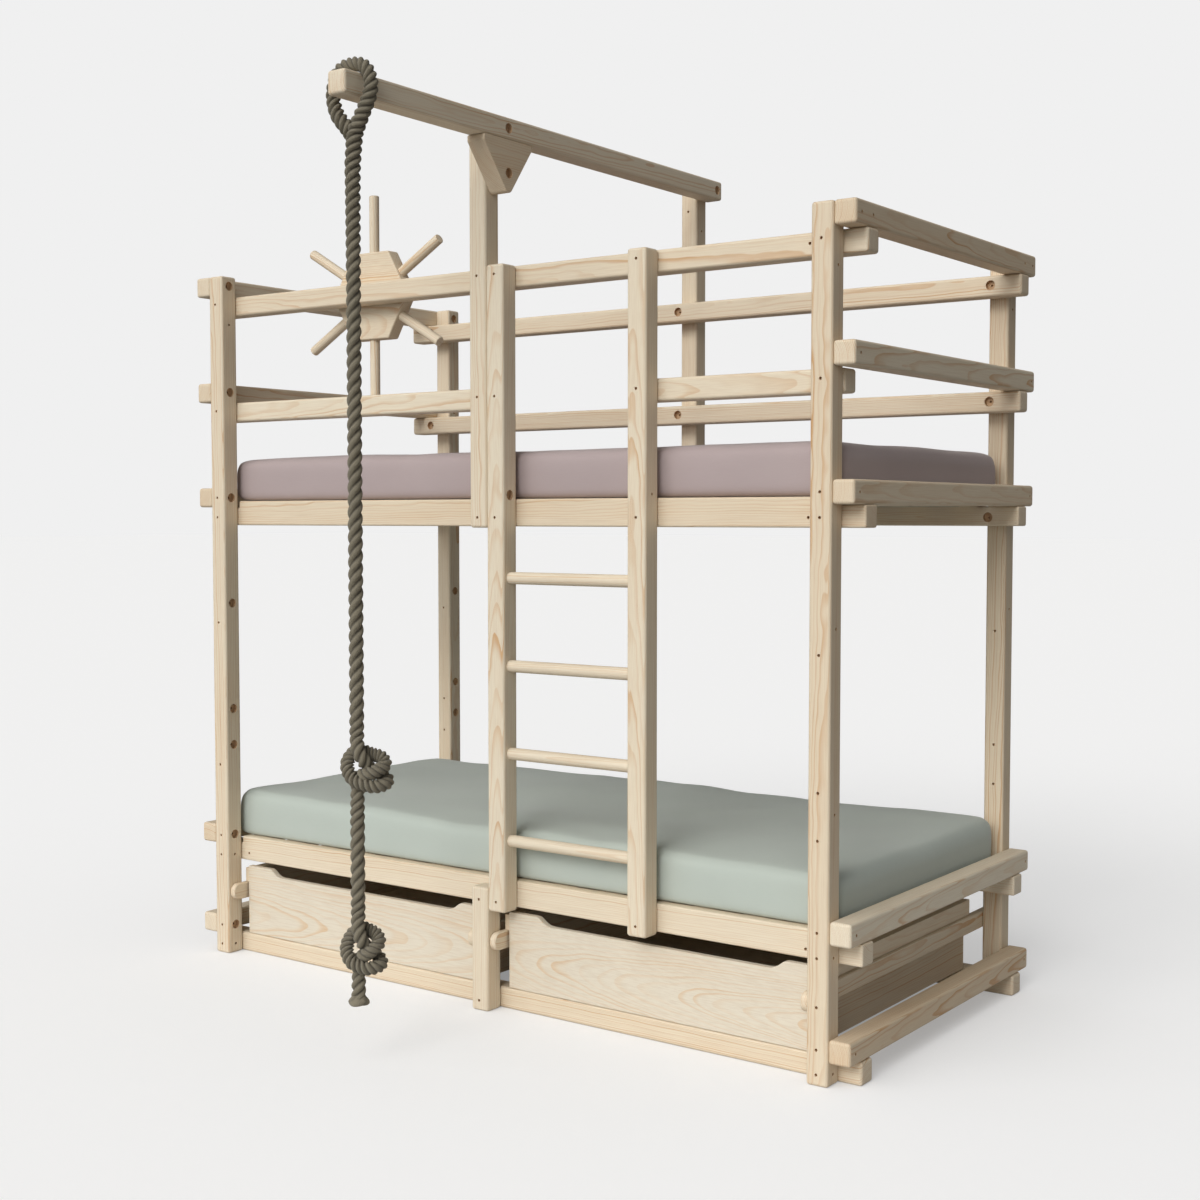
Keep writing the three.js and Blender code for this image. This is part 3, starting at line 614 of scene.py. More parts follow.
def lathe(profile, n=40, p=(0, 0, 0), axis=2, sign=1, mat=0):
    """Round piece: profile of (place along the axis, radius), closed at both ends."""
    a = np.arange(n) / n * 2 * math.pi
    u, w = [i for i in range(3) if i != axis]
    vs, fs = [], []
    for t, r in profile:
        for ang in a:
            c = [0, 0, 0]; c[axis] = p[axis] + sign * t; c[u] = p[u] + r * math.cos(ang); c[w] = p[w] + r * math.sin(ang)
            vs.append(c)
    for i in range(len(profile) - 1):
        for j in range(n):
            k = (j + 1) % n
            fs.append((i * n + j, i * n + k, (i + 1) * n + k, (i + 1) * n + j))
    fs.append(tuple(range(n))[::-1]); fs.append(tuple((len(profile) - 1) * n + j for j in range(n)))
    bm = bmesh.new()
    bv = [bm.verts.new(c) for c in vs]
    for f in fs:
        bm.faces.new([bv[i] for i in f])
    bmesh.ops.recalc_face_normals(bm, faces=bm.faces)
    for f in bm.faces:
        f.material_index = mat
    return from_bm(bm)


def rod(p, axis, length, d, r=1.5, n=40):
    """Round bar from p along +axis, with eased end edges."""
    R = d / 2
    prof = [(0, R - r), (r * 0.3, R - r * 0.3), (r, R), (length - r, R), (length - r * 0.3, R - r * 0.3), (length, R - r)]
    return lathe(prof, n, p, axis)


def to_mesh(name, part, mats):
    me = bpy.data.meshes.new(name)
    me.from_pydata([tuple(x) for x in S(part.v)], [], part.f)
    for m in mats:
        me.materials.append(m)
    me.polygons.foreach_set("material_index", np.array(part.mi, np.int32))
    return me


def drill(part, holes, key):
    """Cuts stepped round holes. holes: (point on the face, axis and sign of the outward normal, [(diameter, depth), ...])."""
    if not holes:
        return part
    body = bpy.data.objects.new("tmp_body", to_mesh("tmp_body", part, [PINE, BORE_GRAIN_AND_SHADE]))
    cut = None
    for p, face, steps in holes:
        axis, sign = "xyz".index(face[1]), (1 if face[0] == "+" else -1)
        prof = [(3.0, steps[0][0] / 2)]
        for i, (d, depth) in enumerate(steps):
            if prof[-1][1] != d / 2:
                prof.append((prof[-1][0], d / 2))
            prof.append((-depth, d / 2))
        # the cutter's walls carry the bore material: end grain colour with painted shade
        one = lathe(prof, 28, p, axis, sign, mat=1)
        cut = one if cut is None else cut.join(one)
    tool = bpy.data.objects.new("tmp_tool", to_mesh("tmp_tool", cut, [PINE, BORE_GRAIN_AND_SHADE]))
    for o in (body, tool):
        bpy.context.scene.collection.objects.link(o)
    m = body.modifiers.new("cut", "BOOLEAN")
    m.object, m.operation, m.solver = tool, "DIFFERENCE", "EXACT"
    dg = bpy.context.evaluated_depsgraph_get()
    me = body.evaluated_get(dg).to_mesh()
    v = np.zeros(len(me.vertices) * 3); me.vertices.foreach_get("co", v)
    v = v.reshape(-1, 3) * 1000 - np.array([SX, SY, 0])
    out = Part(v, [tuple(p.vertices) for p in me.polygons], [p.material_index for p in me.polygons])
    body.evaluated_get(dg).to_mesh_clear()
    for o in (body, tool):
        d = o.data
        bpy.data.objects.remove(o)
        bpy.data.meshes.remove(d)
    return out


def place(name, part, body, nodes, mats=None, smooth=40, weighted=True):
    """Makes the object, lets it ride on its body and stand for its CAD nodes."""
    me = to_mesh(name, part, mats or [PINE, BORE_GRAIN_AND_SHADE])
    at = me.attributes.new("grain", "FLOAT_VECTOR", "POINT"); at.data.foreach_set("vector", part.g.astype(np.float32).ravel())
    at = me.attributes.new("seed", "FLOAT", "POINT"); at.data.foreach_set("value", part.seed.astype(np.float32))
    at = me.attributes.new("tone", "FLOAT", "POINT"); at.data.foreach_set("value", part.tone.astype(np.float32))
    me.shade_smooth()
    me.set_sharp_from_angle(angle=math.radians(smooth))
    ob = bpy.data.objects.new(name, me)
    bpy.context.scene.collection.objects.link(ob)
    if weighted:
        w = ob.modifiers.new("normals", "WEIGHTED_NORMAL")
        w.keep_sharp, w.weight, w.mode = True, 100, "FACE_AREA"
    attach(ob, body)
    if nodes:
        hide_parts(*nodes)
    return ob


BIG = [(26, 11), (6.5, 20)]     # counterbore of a carriage bolt with its hole
SMALL = [(7.2, 9)]              # sunk screw


def small(face, pts):
    return [(p, face, SMALL) for p in pts]


def big(face, pts):
    return [(p, face, BIG) for p in pts]


def timber(node, lo, hi, axis, holes=(), body="frame", r=7.5, pith=None, tilt=None, tone=None):
    part = drill(rbox(lo, hi, r), holes, node)
    part.grain(node, axis, pith, tilt, tone)
    return place(node.replace("-", "_") + "_wood", part, body, [node])


# ------------------------------------------------------------------ posts
BACK_DOT, SIDE_DOT = 2186, 2129
GRID = (26.5, 83, 290, 347, 554, 968, 1272.5, 1329, 1577.5, 1882.5)
END_Z = [z + GAP + HALF for z in (Z_BOTTOM, Z_LOW, Z_BED, Z_MID, Z_TOPR)]
H = 26.5
timber("post_front_left", (0, 0, 0), (SEC, SEC, TOP_H), 2,
       small("-y", [(H, 0, z) for z in GRID]) + small("+x", [(SEC, H, z) for z in (26.5, 290, 1825)])
       + big("+x", [(SEC, HALF, z) for z in END_Z + [612, 717, 1024]]), pith=(-40, 62), tilt=(0.004, 0.012), tone=0.2)
timber("post_front_right", (LEN - SEC, 0, 0), (LEN, SEC, TOP_H), 2,
       small("-y", [(1988.5, 0, z) for z in GRID + (179, 661)]) + small("+x", [(LEN, H, z) for z in (26.5, 290, 612, 1026, 1825)]), pith=(22, 74), tilt=(-0.006, 0.008))
timber("post_back_left", (0, DEP - SEC, 0), (SEC, DEP, TOP_H), 2,
       small("-y", [(27.5, DEP - SEC, z) for z in (554, 661, 968)]) + big("+x", [(SEC, DEP - HALF, z) for z in END_Z + [612, 717, 1024]]))
timber("post_back_right", (LEN - SEC, DEP - SEC, 0), (LEN, DEP, TOP_H), 2,
       small("-y", [(LEN - 27.5, DEP - SEC, z) for z in (554, 661, 968)]) + small("+x", [(LEN, DEP - 27, z) for z in (290, 1026, 1825)]))
timber("swing_post_front", (SWING_X, 0, Z_BED - SEC), (SWING_X + SEC, SEC, BEAM_Z + SEC), 2,
       small("-y", [(1006, 0, z) for z in (1272.5, 1577.5, 1882.5)]), pith=(30, 46))
timber("swing_post_back", (SWING_X, DEP - SEC, Z_BED - SEC), (SWING_X + SEC, DEP, BEAM_Z + SEC), 2,
       small("-y", [(1006, DEP - SEC, BACK_DOT)]) + small("+x", [(SWING_X + SEC, DEP - 27, SIDE_DOT)]))
timber("divider_post_front", (SWING_X, 0, 0), (SWING_X + SEC, SEC, DIVIDER_H), 2, small("-y", [(1006, 0, z) for z in (26.5, 290)]))
timber("divider_post_back", (SWING_X, DEP - SEC, 0), (SWING_X + SEC, DEP, DIVIDER_H), 2)


# ------------------------------------------------------------------ long rails
def rail(node, y, z, x0, x1, holes=(), **kw):
    timber(node, (x0, y, z - SEC), (x1, y + SEC, z), 0, holes, **kw)


def side_rail(node, y, z, inner, holes=(), **kw):
    """The side rail is higher between the posts, with a rebate inside for the slats."""
    x0, x1, e = -LEFT_OUT, LEN + RIGHT_OUT, SEC + 0.6
    out = [(x0, z - SIDE_H), (x1, z - SIDE_H), (x1, z), (LEN - e, z), (LEN - e, z + SIDE_EXTRA), (e, z + SIDE_EXTRA), (e, z), (x0, z)]
    part = prism(out, "xz", y, y + SEC, r=5, seg=3)
    yr = (y + SEC - REBATE_W, y + SEC + 20) if inner > 0 else (y - 20, y + REBATE_W)
    part = minus_box(part, (SEC - 5, yr[0], z), (LEN - SEC + 5, yr[1], z + SIDE_EXTRA + 20))
    part = drill(part, holes, node)
    part.grain(node, 0, **kw)
    place(node + "_wood", part, "frame", [node])


def minus_box(part, lo, hi):
    body = bpy.data.objects.new("tmp_body", to_mesh("tmp_body", part, [PINE, BORE_GRAIN_AND_SHADE]))
    tool = bpy.data.objects.new("tmp_tool", to_mesh("tmp_tool", rbox(lo, hi, 0.5, 1), [PINE, BORE_GRAIN_AND_SHADE]))
    for o in (body, tool):
        bpy.context.scene.collection.objects.link(o)
    m = body.modifiers.new("cut", "BOOLEAN")
    m.object, m.operation, m.solver = tool, "DIFFERENCE", "EXACT"
    dg = bpy.context.evaluated_depsgraph_get()
    me = body.evaluated_get(dg).to_mesh()
    v = np.zeros(len(me.vertices) * 3); me.vertices.foreach_get("co", v)
    v = v.reshape(-1, 3) * 1000 - np.array([SX, SY, 0])
    out = Part(v, [tuple(p.vertices) for p in me.polygons], [p.material_index for p in me.polygons])
    body.evaluated_get(dg).to_mesh_clear()
    for o in (body, tool):
        d = o.data
        bpy.data.objects.remove(o)
        bpy.data.meshes.remove(d)
    return out


XR = LEN + RIGHT_OUT
rail("rail_front_top", FRONT_Y, Z_TOPR, -LEFT_OUT, XR, small("-y", [(1930, FRONT_Y, 1883)]) + [((WHEEL[0], FRONT_Y + SEC, WHEEL[2]), "+y", [(AXLE_D + 1.4, 48)])],
     pith=(58, -20), tilt=(0.012, 0.002))
rail("rail_front_mid_left", FRONT_Y, Z_MID, -LEFT_OUT, SWING_X + SEC, pith=(70, 12), tilt=(0.02, 0.004))
rail("rail_front_mid_right", FRONT_Y, Z_MID, LADDER_R + 1, LEN + MID_OUT, pith=(52, -4), tilt=(0.03, 0.006))
side_rail("side_rail_front_upper", FRONT_Y, Z_BED, 1, small("-y", [(1930, FRONT_Y, 1272.5)]), pith=(52, 50), tilt=(0.004, 0.009))
side_rail("side_rail_front_lower", FRONT_Y, Z_LOW, 1, small("-y", [(1930, FRONT_Y, 291), (84, FRONT_Y, 291)]), pith=(40, 62), tilt=(0.003, 0.012))
rail("rail_front_bottom", FRONT_Y, Z_BOTTOM, -LEFT_OUT, XR, pith=(24, -76), tilt=(0.002, 0.004), tone=0.25)
rail("rail_back_top", BACK_Y, Z_TOPR, -LEFT_OUT, XR, big("-y", [(x, BACK_Y, 1882.5) for x in (27, 1006, 1988.5)]))
rail("rail_back_mid", BACK_Y, Z_MID, -LEFT_OUT, XR, big("-y", [(x, BACK_Y, 1577.5) for x in (22, 1006, 1988.5)]))
side_rail("side_rail_back_upper", BACK_Y, Z_BED, -1, big("-y", [(x, BACK_Y, 1272.5) for x in (27, 1006, 1988.5)]))
side_rail("side_rail_back_lower", BACK_Y, Z_LOW, -1, big("-y", [(x, BACK_Y, 291) for x in (27, 1006, 1988.5)]))
rail("rail_back_bottom", BACK_Y, Z_BOTTOM, -LEFT_OUT, XR)

# ------------------------------------------------------------------ end rails
for side, x in (("left", -SEC - GAP), ("right", LEN + GAP)):
    for lev, z in (("bottom", Z_BOTTOM), ("low", Z_LOW), ("bed", Z_BED), ("mid", Z_MID), ("top", Z_TOPR)):
        face, fx = ("+x", x + SEC) if side == "right" else ("-x", x)
        hs = small(face, [(fx, y, z + GAP + 27) for y in (29, DEP - 29)])
        if lev == "top":
            hs += small(face, [(fx, y, z + GAP + 27) for y in (83, DEP - 83)])
        kw = {}
        if side == "right":              # flat-sawn on the outside, with wavy figure
            kw = dict(pith=(-58, 12 if lev in ("top", "bed") else -9), tilt=(0.016, 0.006), tone={"top": 0.55, "bottom": 0.6, "low": 0.0, "mid": 0.2, "bed": 0.4}[lev])
        timber(f"end_rail_{side}_{lev}", (x, 2, z + GAP), (x + SEC, DEP - 6, z + GAP + SEC), 1, hs, **kw)

# ------------------------------------------------------------------ ladder
timber("ladder_upright_left", (LADDER_L, 0, LADDER_BOTTOM), (LADDER_L + SEC, SEC, Z_TOPR), 2,
       small("-y", [(1063, 0, z) for z in (290.5, 1272.5, 1577.5, 1882.5)]) + big("+x", [(LADDER_L + SEC, H, 1329)])
       + [((LADDER_L + SEC, HALF, z), "+x", [(RUNG_D + 0.8, RUNG_IN)]) for z in RUNG_Z], pith=(6, 58), tilt=(0.002, 0.03))
timber("ladder_upright_right", (LADDER_R, 0, LADDER_BOTTOM), (LADDER_R + SEC, SEC, Z_TOPR), 2,
       small("-y", [(1496.5, 0, z) for z in (290.5, 1272.5, 1577.5, 1882.5)]) + small("+x", [(LADDER_R + SEC, 27.5, 1328)])
       + [((LADDER_R, HALF, z), "-x", [(RUNG_D + 0.8, RUNG_IN)]) for z in RUNG_Z], pith=(-14, 66), tilt=(0.006, 0.022))
for i, z in enumerate(RUNG_Z):
    x0, x1 = LADDER_L + SEC - RUNG_IN + 0.5, LADDER_R + RUNG_IN - 0.5
    p = rod((x0, HALF, z), 0, x1 - x0, RUNG_D).grain(f"rung {i}", 0, tone=0.1)
    place(f"ladder_rung_{i + 1}_wood", p, "frame", [f"ladder_rung_{i + 1}"])

# ------------------------------------------------------------------ swing beam and gusset
timber("swing_beam", (BEAM_X, BEAM_FRONT, BEAM_Z), (BEAM_X + SEC, DEP, BEAM_Z + SEC), 1, big("+x", [(BEAM_X + SEC, y, BEAM_C[1]) for y in (HALF, DEP - 27)]),
       pith=(64, 8), tilt=(0.004, 0.012))
zt = BEAM_Z - GAP
zb = zt - GUSSET_H
tip = [(GUSSET_BOT * math.sin(math.radians(t)) * 1.15, zb + 12 - 12 * math.cos(math.radians(t))) for t in (0, 20, 40, 58)]
gus = [(HALF - GUSSET_FRONT, zt), (HALF - GUSSET_FRONT, zt - 16)] + [(HALF - u, w) for u, w in tip[::-1]]
gus += [(HALF + u, w) for u, w in tip[1:]] + [(HALF + GUSSET_REAR, zt - 16), (HALF + GUSSET_REAR, zt)]
gp = prism(gus, "yz", BEAM_X, BEAM_X + SEC, r=6, seg=3, angle=12)
gp = drill(gp, big("+x", [(BEAM_X + SEC, HALF, GUSSET_BORE)]), "gusset").grain("gusset", 1, pith=(60, 30))
place("beam_gusset_wood", gp, "frame", ["beam_gusset"])


# ------------------------------------------------------------------ slatted bases
def slats(node, z):
    y0, y1 = FRONT_Y + SEC - REBATE_W + 1, BACK_Y + REBATE_W - 1
    top = z + SIDE_EXTRA
    bot = top - SLAT_T
    x0, x1 = 64, LEN - 64 - SLAT_W
    step = (x1 - x0) / (SLAT_N - 1)
    whole = None
    for i in range(SLAT_N):
        p = rbox((x0 + i * step, y0, bot), (x0 + i * step + SLAT_W, y1, top), 2.5, 3).grain(f"{node} {i}", 1)
        whole = p if whole is None else whole.join(p)
    ob = place(node + "_wood", whole, "frame", [node])
    straps = None
    for y in (210, DEP - 210):
        p = rbox((x0 + 5, y - 12, bot - 2), (x1 + SLAT_W - 5, y + 12, bot - 0.3), 0.7, 2)
        straps = p if straps is None else straps.join(p)
    st = place(node + "_straps", straps, "frame", [], mats=[STRAP, STRAP], weighted=False)
    return ob, st


slats("slatted_base_upper", Z_BED)
slats("slatted_base_lower", Z_LOW)

# ------------------------------------------------------------------ drawer guides and drawers
for name, x in (("left_outer", SEC + GAP), ("left_inner", SWING_X - GAP - GUIDE_T), ("right_inner", SWING_X + SEC + GAP), ("right_outer", LEN - SEC - GAP - GUIDE_T)):
    R = 20
    out = [(DEP - 2, GUIDE_Z), (DEP - 2, GUIDE_Z + GUIDE_H)]
    out += [(GUIDE_FRONT + R + R * math.cos(math.pi / 2 + i * math.pi / 20), GUIDE_Z + GUIDE_H - R + R * math.sin(math.pi / 2 + i * math.pi / 20)) for i in range(11)]
    out += [(GUIDE_FRONT + R + R * math.cos(math.pi + i * math.pi / 20), GUIDE_Z + R + R * math.sin(math.pi + i * math.pi / 20)) for i in range(11)]
    p = prism(out, "yz", x, x + GUIDE_T, r=3.5, seg=3, angle=40)
    p.grain("guide " + name, 1, pith=(50, 12))
    place(f"drawer_guide_{name}_wood", p, "frame", [f"drawer_guide_{name}"])


def drawer(name, xa, xb):
    body = "drawer_" + name
    p0, p1 = xa + RUNNER_T + GAP, xb - RUNNER_T - GAP
    out = [(p0, DRAWER_Z), (p1, DRAWER_Z), (p1, DRAWER_TOP), (p0 + CUT[3], DRAWER_TOP)]

    def curve(x0, x1, z0, z1):
        for i in range(1, 13):
            t = i / 12 if z1 < z0 else 1 - i / 12
            u = 0.357 * 3 * t * (1 - t) + t ** 3              # steep from the top, then a long soft run-out
            v = 3 * t * t - 2 * t ** 3
            out.append((x0 + (x1 - x0) * u, z0 + (z1 - z0) * v) if z1 < z0 else (x1 + (x0 - x1) * u, z1 + (z0 - z1) * v))

    curve(p0 + CUT[3], p0 + CUT[2], DRAWER_TOP, DRAWER_LOW)
    out.append((p0 + CUT[1], DRAWER_LOW))
    curve(p0 + CUT[1], p0 + CUT[0], DRAWER_LOW, DRAWER_TOP)
    out.append((p0, DRAWER_TOP))
    f = prism(out, "xz", FRONT_Y, FRONT_Y + FRONT_T, r=1.8, seg=2, angle=60)
    f.grain("front " + name, 0, pith=((96, -34) if name == "left" else (62, -26)), tilt=((0.05, 0.03) if name == "left" else (-0.085, -0.03)), tone=0)
    f.g[:, :2] *= 0.6                # wide rings
    place(f"drawer_{name}_front_wood", f, body, [f"drawer_{name}_front"], mats=[PALE, BORE_GRAIN_AND_SHADE])
    yb, z0 = FRONT_Y + FRONT_T + GAP, DRAWER_Z - 0.3
    boards = [
        (rbox((p0, yb, z0), (p0 + BOARD_T, DRAWER_BACK, RUNNER_TOP), 1.5, 2), 1),
        (rbox((p1 - BOARD_T, yb, z0), (p1, DRAWER_BACK, RUNNER_TOP), 1.5, 2), 1),
        (rbox((p0 + BOARD_T, DRAWER_BACK - BOARD_T, z0), (p1 - BOARD_T, DRAWER_BACK - 0.5, 216), 1.5, 2), 0),
        (rbox((p0 + BOARD_T - 4, yb, z0 + 8), (p1 - BOARD_T + 4, DRAWER_BACK - BOARD_T + 4, z0 + 16), 0.6, 1), 0),
        (rbox((xa, FRONT_Y + 4, GUIDE_Z + GUIDE_H + 0.4), (p0 - 0.2, DRAWER_BACK, RUNNER_TOP - 0.5), 1.5, 2), 1),
        (rbox((p1 + 0.2, FRONT_Y + 4, GUIDE_Z + GUIDE_H + 0.4), (xb, DRAWER_BACK, RUNNER_TOP - 0.5), 1.5, 2), 1)]
    whole = None
    for i, (b, ax) in enumerate(boards):
        b.grain(f"box {name} {i}", ax, pith=(90 + 9 * i, 20), tone=0.35)
        whole = b if whole is None else whole.join(b)
    place(f"drawer_{name}_box_wood", whole, body, [f"drawer_{name}_box"])


drawer("left", 64.3, 971.2)
drawer("right", 1045, 1952.4)

# ------------------------------------------------------------------ steering wheel
hexa = [(WHEEL[0] + HUB_AF / math.sqrt(3) * math.cos(math.radians(60 * i)), WHEEL[2] + HUB_AF / math.sqrt(3) * math.sin(math.radians(60 * i))) for i in range(6)]
hub = prism(hexa, "xz", WHEEL[1], WHEEL[1] + HUB_T, r=4.5, seg=3, angle=20)
tools = []
hub = drill(hub, [((WHEEL[0], WHEEL[1], WHEEL[2]), "-y", [(AXLE_D + 1.6, 60)])], "hub")
hub.grain("hub", 0, pith=(160, -90), tilt=(0.05, 0.03), tone=0.25)
place("wheel_hub_wood", hub, "wheel", ["wheel_hub"])
for i in range(6):
    a = math.radians(60 * i)
    r0 = HUB_AF / 2 - HANDLE_IN + 0.5
    p = rod((0, 0, r0), 2, HANDLE_R - r0, HANDLE_D, r=3).grain(f"handle {i}", 2, tone=0.15)
    x, z = p.v[:, 0].copy(), p.v[:, 2].copy()
    p.v[:, 0] = x * math.cos(a) + z * math.sin(a) + WHEEL[0]
    p.v[:, 2] = -x * math.sin(a) + z * math.cos(a) + WHEEL[2]
    p.v[:, 1] += WHEEL[1] + HUB_T / 2
    place(f"wheel_handle_{i + 1}_wood", p, "wheel", [f"wheel_handle_{i + 1}"])
ax = lathe([(-44, 5.2), (-43, 6), (HUB_T + 1, 6), (HUB_T + 1.01, 14), (HUB_T + 2, 14), (HUB_T + 6, 11), (HUB_T + 8, 4)], 40, WHEEL, 1)
place("wheel_axle_bolt", ax, "frame", ["wheel_axle"], mats=[STEEL, STEEL], weighted=False)


# ------------------------------------------------------------------ mattresses
def cushion(lo, hi, r_top, r_bottom):
    """Box with its upright and top edges rounded by r_top and its bottom edges by r_bottom."""
    bm = bmesh.new()
    bmesh.ops.create_cube(bm, size=1)
    for v in bm.verts:
        v.co = Vector([lo[i] + (v.co[i] + 0.5) * (hi[i] - lo[i]) for i in range(3)])
    low = lo[2] + 0.01
    bmesh.ops.bevel(bm, geom=[e for e in bm.edges if max(v.co.z for v in e.verts) > low], offset=r_top, offset_type="OFFSET", segments=6, profile=0.5, affect="EDGES")
    bmesh.ops.bevel(bm, geom=[e for e in bm.edges if max(v.co.z for v in e.verts) < low], offset=r_bottom, offset_type="OFFSET", segments=3, profile=0.5, affect="EDGES")
    return from_bm(bm)


def mattress(node, z, mat, seed, wave, lift):
    """A covered foam mattress: blown up a little by the Cloth solver from a shape a little smaller than the CAD
    solid, kept flat below, then given the cover's slight looseness."""
    cx, cy = LEN / 2, DEP / 2
    z0 = z + SIDE_EXTRA + GAP
    part = cushion((cx - MAT_L / 2 + 4, cy - MAT_W / 2 + 4, z0), (cx + MAT_L / 2 - 4, cy + MAT_W / 2 - 4, z0 + MAT_T - 1), 32, 7)
    me = to_mesh(node + "_cover", part, [mat])
    ob = bpy.data.objects.new(node + "_cover", me)
    bpy.context.scene.collection.objects.link(ob)
    rm = ob.modifiers.new("remesh", "REMESH")
    rm.mode, rm.voxel_size = "VOXEL", 0.0145
    dg = bpy.context.evaluated_depsgraph_get()
    done = bpy.data.meshes.new_from_object(ob.evaluated_get(dg))
    ob.modifiers.clear()
    ob.data = done
    rest = np.zeros(len(done.vertices) * 3); done.vertices.foreach_get("co", rest); rest = rest.reshape(-1, 3)
    c = ob.modifiers.new("cloth", "CLOTH")
    s = c.settings
    s.quality, s.mass = 4, 0.3
    s.use_pressure, s.uniform_pressure_force = True, 4.0
    s.tension_stiffness = s.compression_stiffness = 20
    s.shear_stiffness, s.bending_stiffness = 10, 2.0
    s.effector_weights.gravity = 0
    c.collision_settings.use_collision = False
    c.point_cache.frame_start, c.point_cache.frame_end = 1, 20
    for f in range(1, 21):
        bpy.context.scene.frame_set(f)
    dg = bpy.context.evaluated_depsgraph_get()
    done = bpy.data.meshes.new_from_object(ob.evaluated_get(dg))
    ob.modifiers.clear()
    ob.data = done
    co = np.zeros(len(done.vertices) * 3); done.vertices.foreach_get("co", co); co = co.reshape(-1, 3)
    bpy.context.scene.frame_set(1)
    move = co - rest
    far = np.linalg.norm(move, axis=1)
    cap = 0.006
    co = rest + move * np.minimum(1, cap / np.maximum(far, 1e-9))[:, None]
    # the cover's looseness: long low waves over the top and sides, none below
    top, bot = (z0 + MAT_T) / 1000, z0 / 1000
    for i in range(len(co)):
        p = Vector(co[i])
        up = min(1, max(0, (p.z - bot) / (top - bot)))
        w = mnoise.noise(Vector((p.x * 2.6 + seed, p.y * 2.9, 0.7))) * 0.011 + mnoise.noise(Vector((p.x * 6.5, p.y * 5.3 + seed, 1.3))) * 0.006
        co[i, 2] += (w * wave + lift) * up
        side = mnoise.noise(Vector((p.x * 4.4, seed, p.z * 9.0))) * 0.0045 * min(1, 2 * up)
        if p.y * 1000 - SY < cy - MAT_W / 2 + 40:
            co[i, 1] += side
        elif p.y * 1000 - SY > cy + MAT_W / 2 - 40:
            co[i, 1] -= side
    lim = [(cx - MAT_L / 2 - 2, cx + MAT_L / 2 + 2), (cy - MAT_W / 2 - 3, cy + MAT_W / 2 + 3), (z0, z0 + MAT_T + 9)]
    lo, hi = S([l[0] for l in lim]), S([l[1] for l in lim])
    co = np.clip(co, lo, hi)
    done.vertices.foreach_set("co", co.ravel())
    done.update()
    done.materials.clear(); done.materials.append(mat)
    done.shade_smooth()
    sm = ob.modifiers.new("smooth", "SMOOTH"); sm.factor, sm.iterations = 0.5, 3
    sub = ob.modifiers.new("sub", "SUBSURF"); sub.levels = sub.render_levels = 1
    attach(ob, "frame")
    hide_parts(node)
    return ob


mattress("mattress_upper", Z_BED, MAUVE, 3.7, 0.42, -0.0042)
mattress("mattress_lower", Z_LOW, SAGE, 11.2, 1.0, 0.0)

# ------------------------------------------------------------------ floor, light
CAM_WHITE = 0.8714              # the studio's white, as the camera sees it
# softboxes far off: degrees round from straight in front (towards the left end) and up, and strength
BOXES = [(-10, 32, 0.40), (-10, 58, 0.12), (-35, 8, 0.08), (15, 32, 0.19), (15, 8, 0.13), (40, 32, 0.13)]
FILL = 0.155                    # the room's light from all round
FLOOR_CAM, FLOOR_DOME, FLOOR_GLOW = 0.588, 0.211, 0.2700


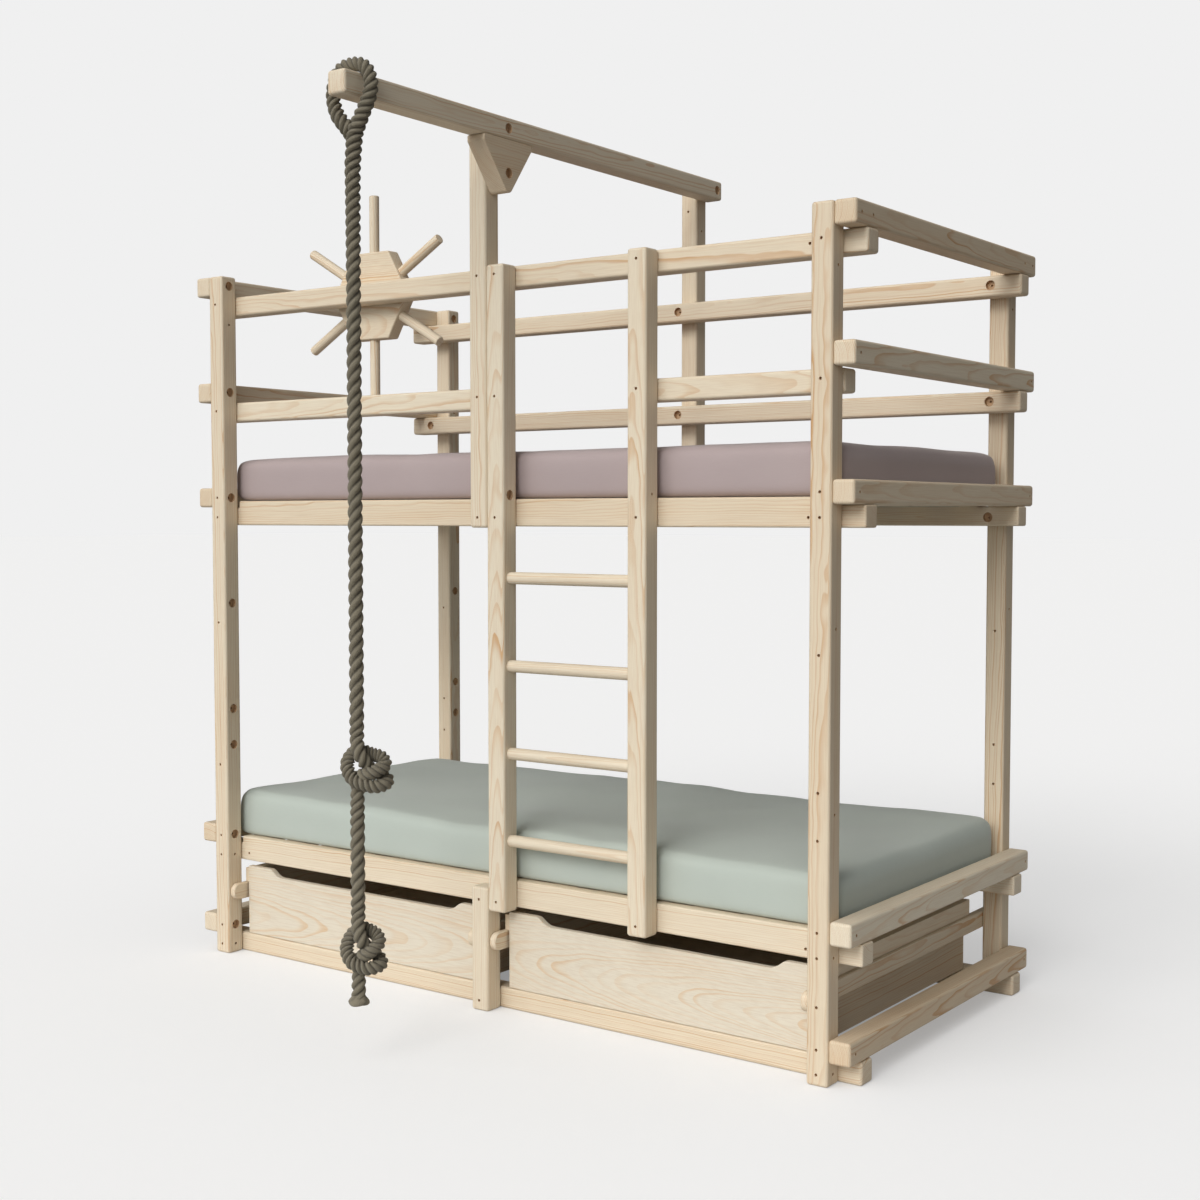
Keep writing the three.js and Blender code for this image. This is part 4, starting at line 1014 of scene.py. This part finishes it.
def floor_material():
    """Seamless white sweep: the camera sees one white with soft shadows on it, and the object gets the bounce of a
    pale floor near it."""
    mat = bpy.data.materials.new("floor")
    mat.use_nodes = True
    t = mat.node_tree
    t.nodes.clear()
    out = t.nodes.new("ShaderNodeOutputMaterial")
    pos = t.nodes.new("ShaderNodeTexCoord")
    ln = t.nodes.new("ShaderNodeVectorMath"); ln.operation = "LENGTH"
    t.links.new(pos.outputs["Object"], ln.inputs[0])
    fall = t.nodes.new("ShaderNodeMapRange"); fall.interpolation_type = "SMOOTHSTEP"
    t.links.new(ln.outputs["Value"], fall.inputs["Value"])
    for k, v in (("From Min", 1.2), ("From Max", 4.5), ("To Min", 0.62), ("To Max", 0.14)):
        fall.inputs[k].default_value = v
    near = t.nodes.new("ShaderNodeBsdfDiffuse")
    t.links.new(fall.outputs[0], near.inputs["Color"])
    seen = t.nodes.new("ShaderNodeBsdfDiffuse"); seen.inputs["Color"].default_value = (FLOOR_CAM, FLOOR_CAM, FLOOR_CAM, 1)
    dome = t.nodes.new("ShaderNodeAmbientOcclusion"); dome.samples = 8
    dome.inputs["Distance"].default_value = 4.0
    up = t.nodes.new("ShaderNodeMath"); up.operation = "MULTIPLY_ADD"
    t.links.new(dome.outputs["AO"], up.inputs[0])
    up.inputs[1].default_value, up.inputs[2].default_value = FLOOR_DOME, FLOOR_GLOW
    glow = t.nodes.new("ShaderNodeEmission")
    t.links.new(up.outputs[0], glow.inputs["Strength"])
    add = t.nodes.new("ShaderNodeAddShader")
    t.links.new(seen.outputs[0], add.inputs[0]); t.links.new(glow.outputs[0], add.inputs[1])
    ray = t.nodes.new("ShaderNodeLightPath")
    mix = t.nodes.new("ShaderNodeMixShader")
    t.links.new(ray.outputs["Is Camera Ray"], mix.inputs[0])
    t.links.new(near.outputs[0], mix.inputs[1]); t.links.new(add.outputs[0], mix.inputs[2])
    t.links.new(mix.outputs[0], out.inputs["Surface"])
    return mat


me = bpy.data.meshes.new("floor")
me.from_pydata([(-90, -90, 0), (90, -90, 0), (90, 90, 0), (-90, 90, 0)], [], [(0, 1, 2, 3)])
me.materials.append(floor_material())
floor = bpy.data.objects.new("floor", me)
bpy.context.scene.collection.objects.link(floor)

world = bpy.data.worlds.new("studio")
bpy.context.scene.world = world
world.use_nodes = True
wt = world.node_tree
bg = wt.nodes["Background"]
bg.inputs["Color"].default_value, bg.inputs["Strength"].default_value = (1, 0.995, 0.985, 1), FILL
white = wt.nodes.new("ShaderNodeBackground")
white.inputs["Color"].default_value, white.inputs["Strength"].default_value = (1, 1, 1, 1), CAM_WHITE
wray, wmix = wt.nodes.new("ShaderNodeLightPath"), wt.nodes.new("ShaderNodeMixShader")
wt.links.new(wray.outputs["Is Camera Ray"], wmix.inputs[0])
wt.links.new(bg.outputs[0], wmix.inputs[1]); wt.links.new(white.outputs[0], wmix.inputs[2])
wt.links.new(wmix.outputs[0], wt.nodes["World Output"].inputs["Surface"])

for i, (az, el, w) in enumerate(BOXES):
    sun_data = bpy.data.lights.new(f"softbox_{i + 1}", "SUN")
    sun_data.energy, sun_data.angle, sun_data.color = math.pi * w, math.radians(28), (1.0, 0.995, 0.985)
    sun = bpy.data.objects.new(f"softbox_{i + 1}", sun_data)
    bpy.context.scene.collection.objects.link(sun)
    a, e = math.radians(az), math.radians(el)
    sun.rotation_euler = Vector((math.sin(a) * math.cos(e), math.cos(a) * math.cos(e), -math.sin(e))).to_track_quat("-Z", "Y").to_euler()
bpy.context.scene.view_settings.view_transform = "Standard"
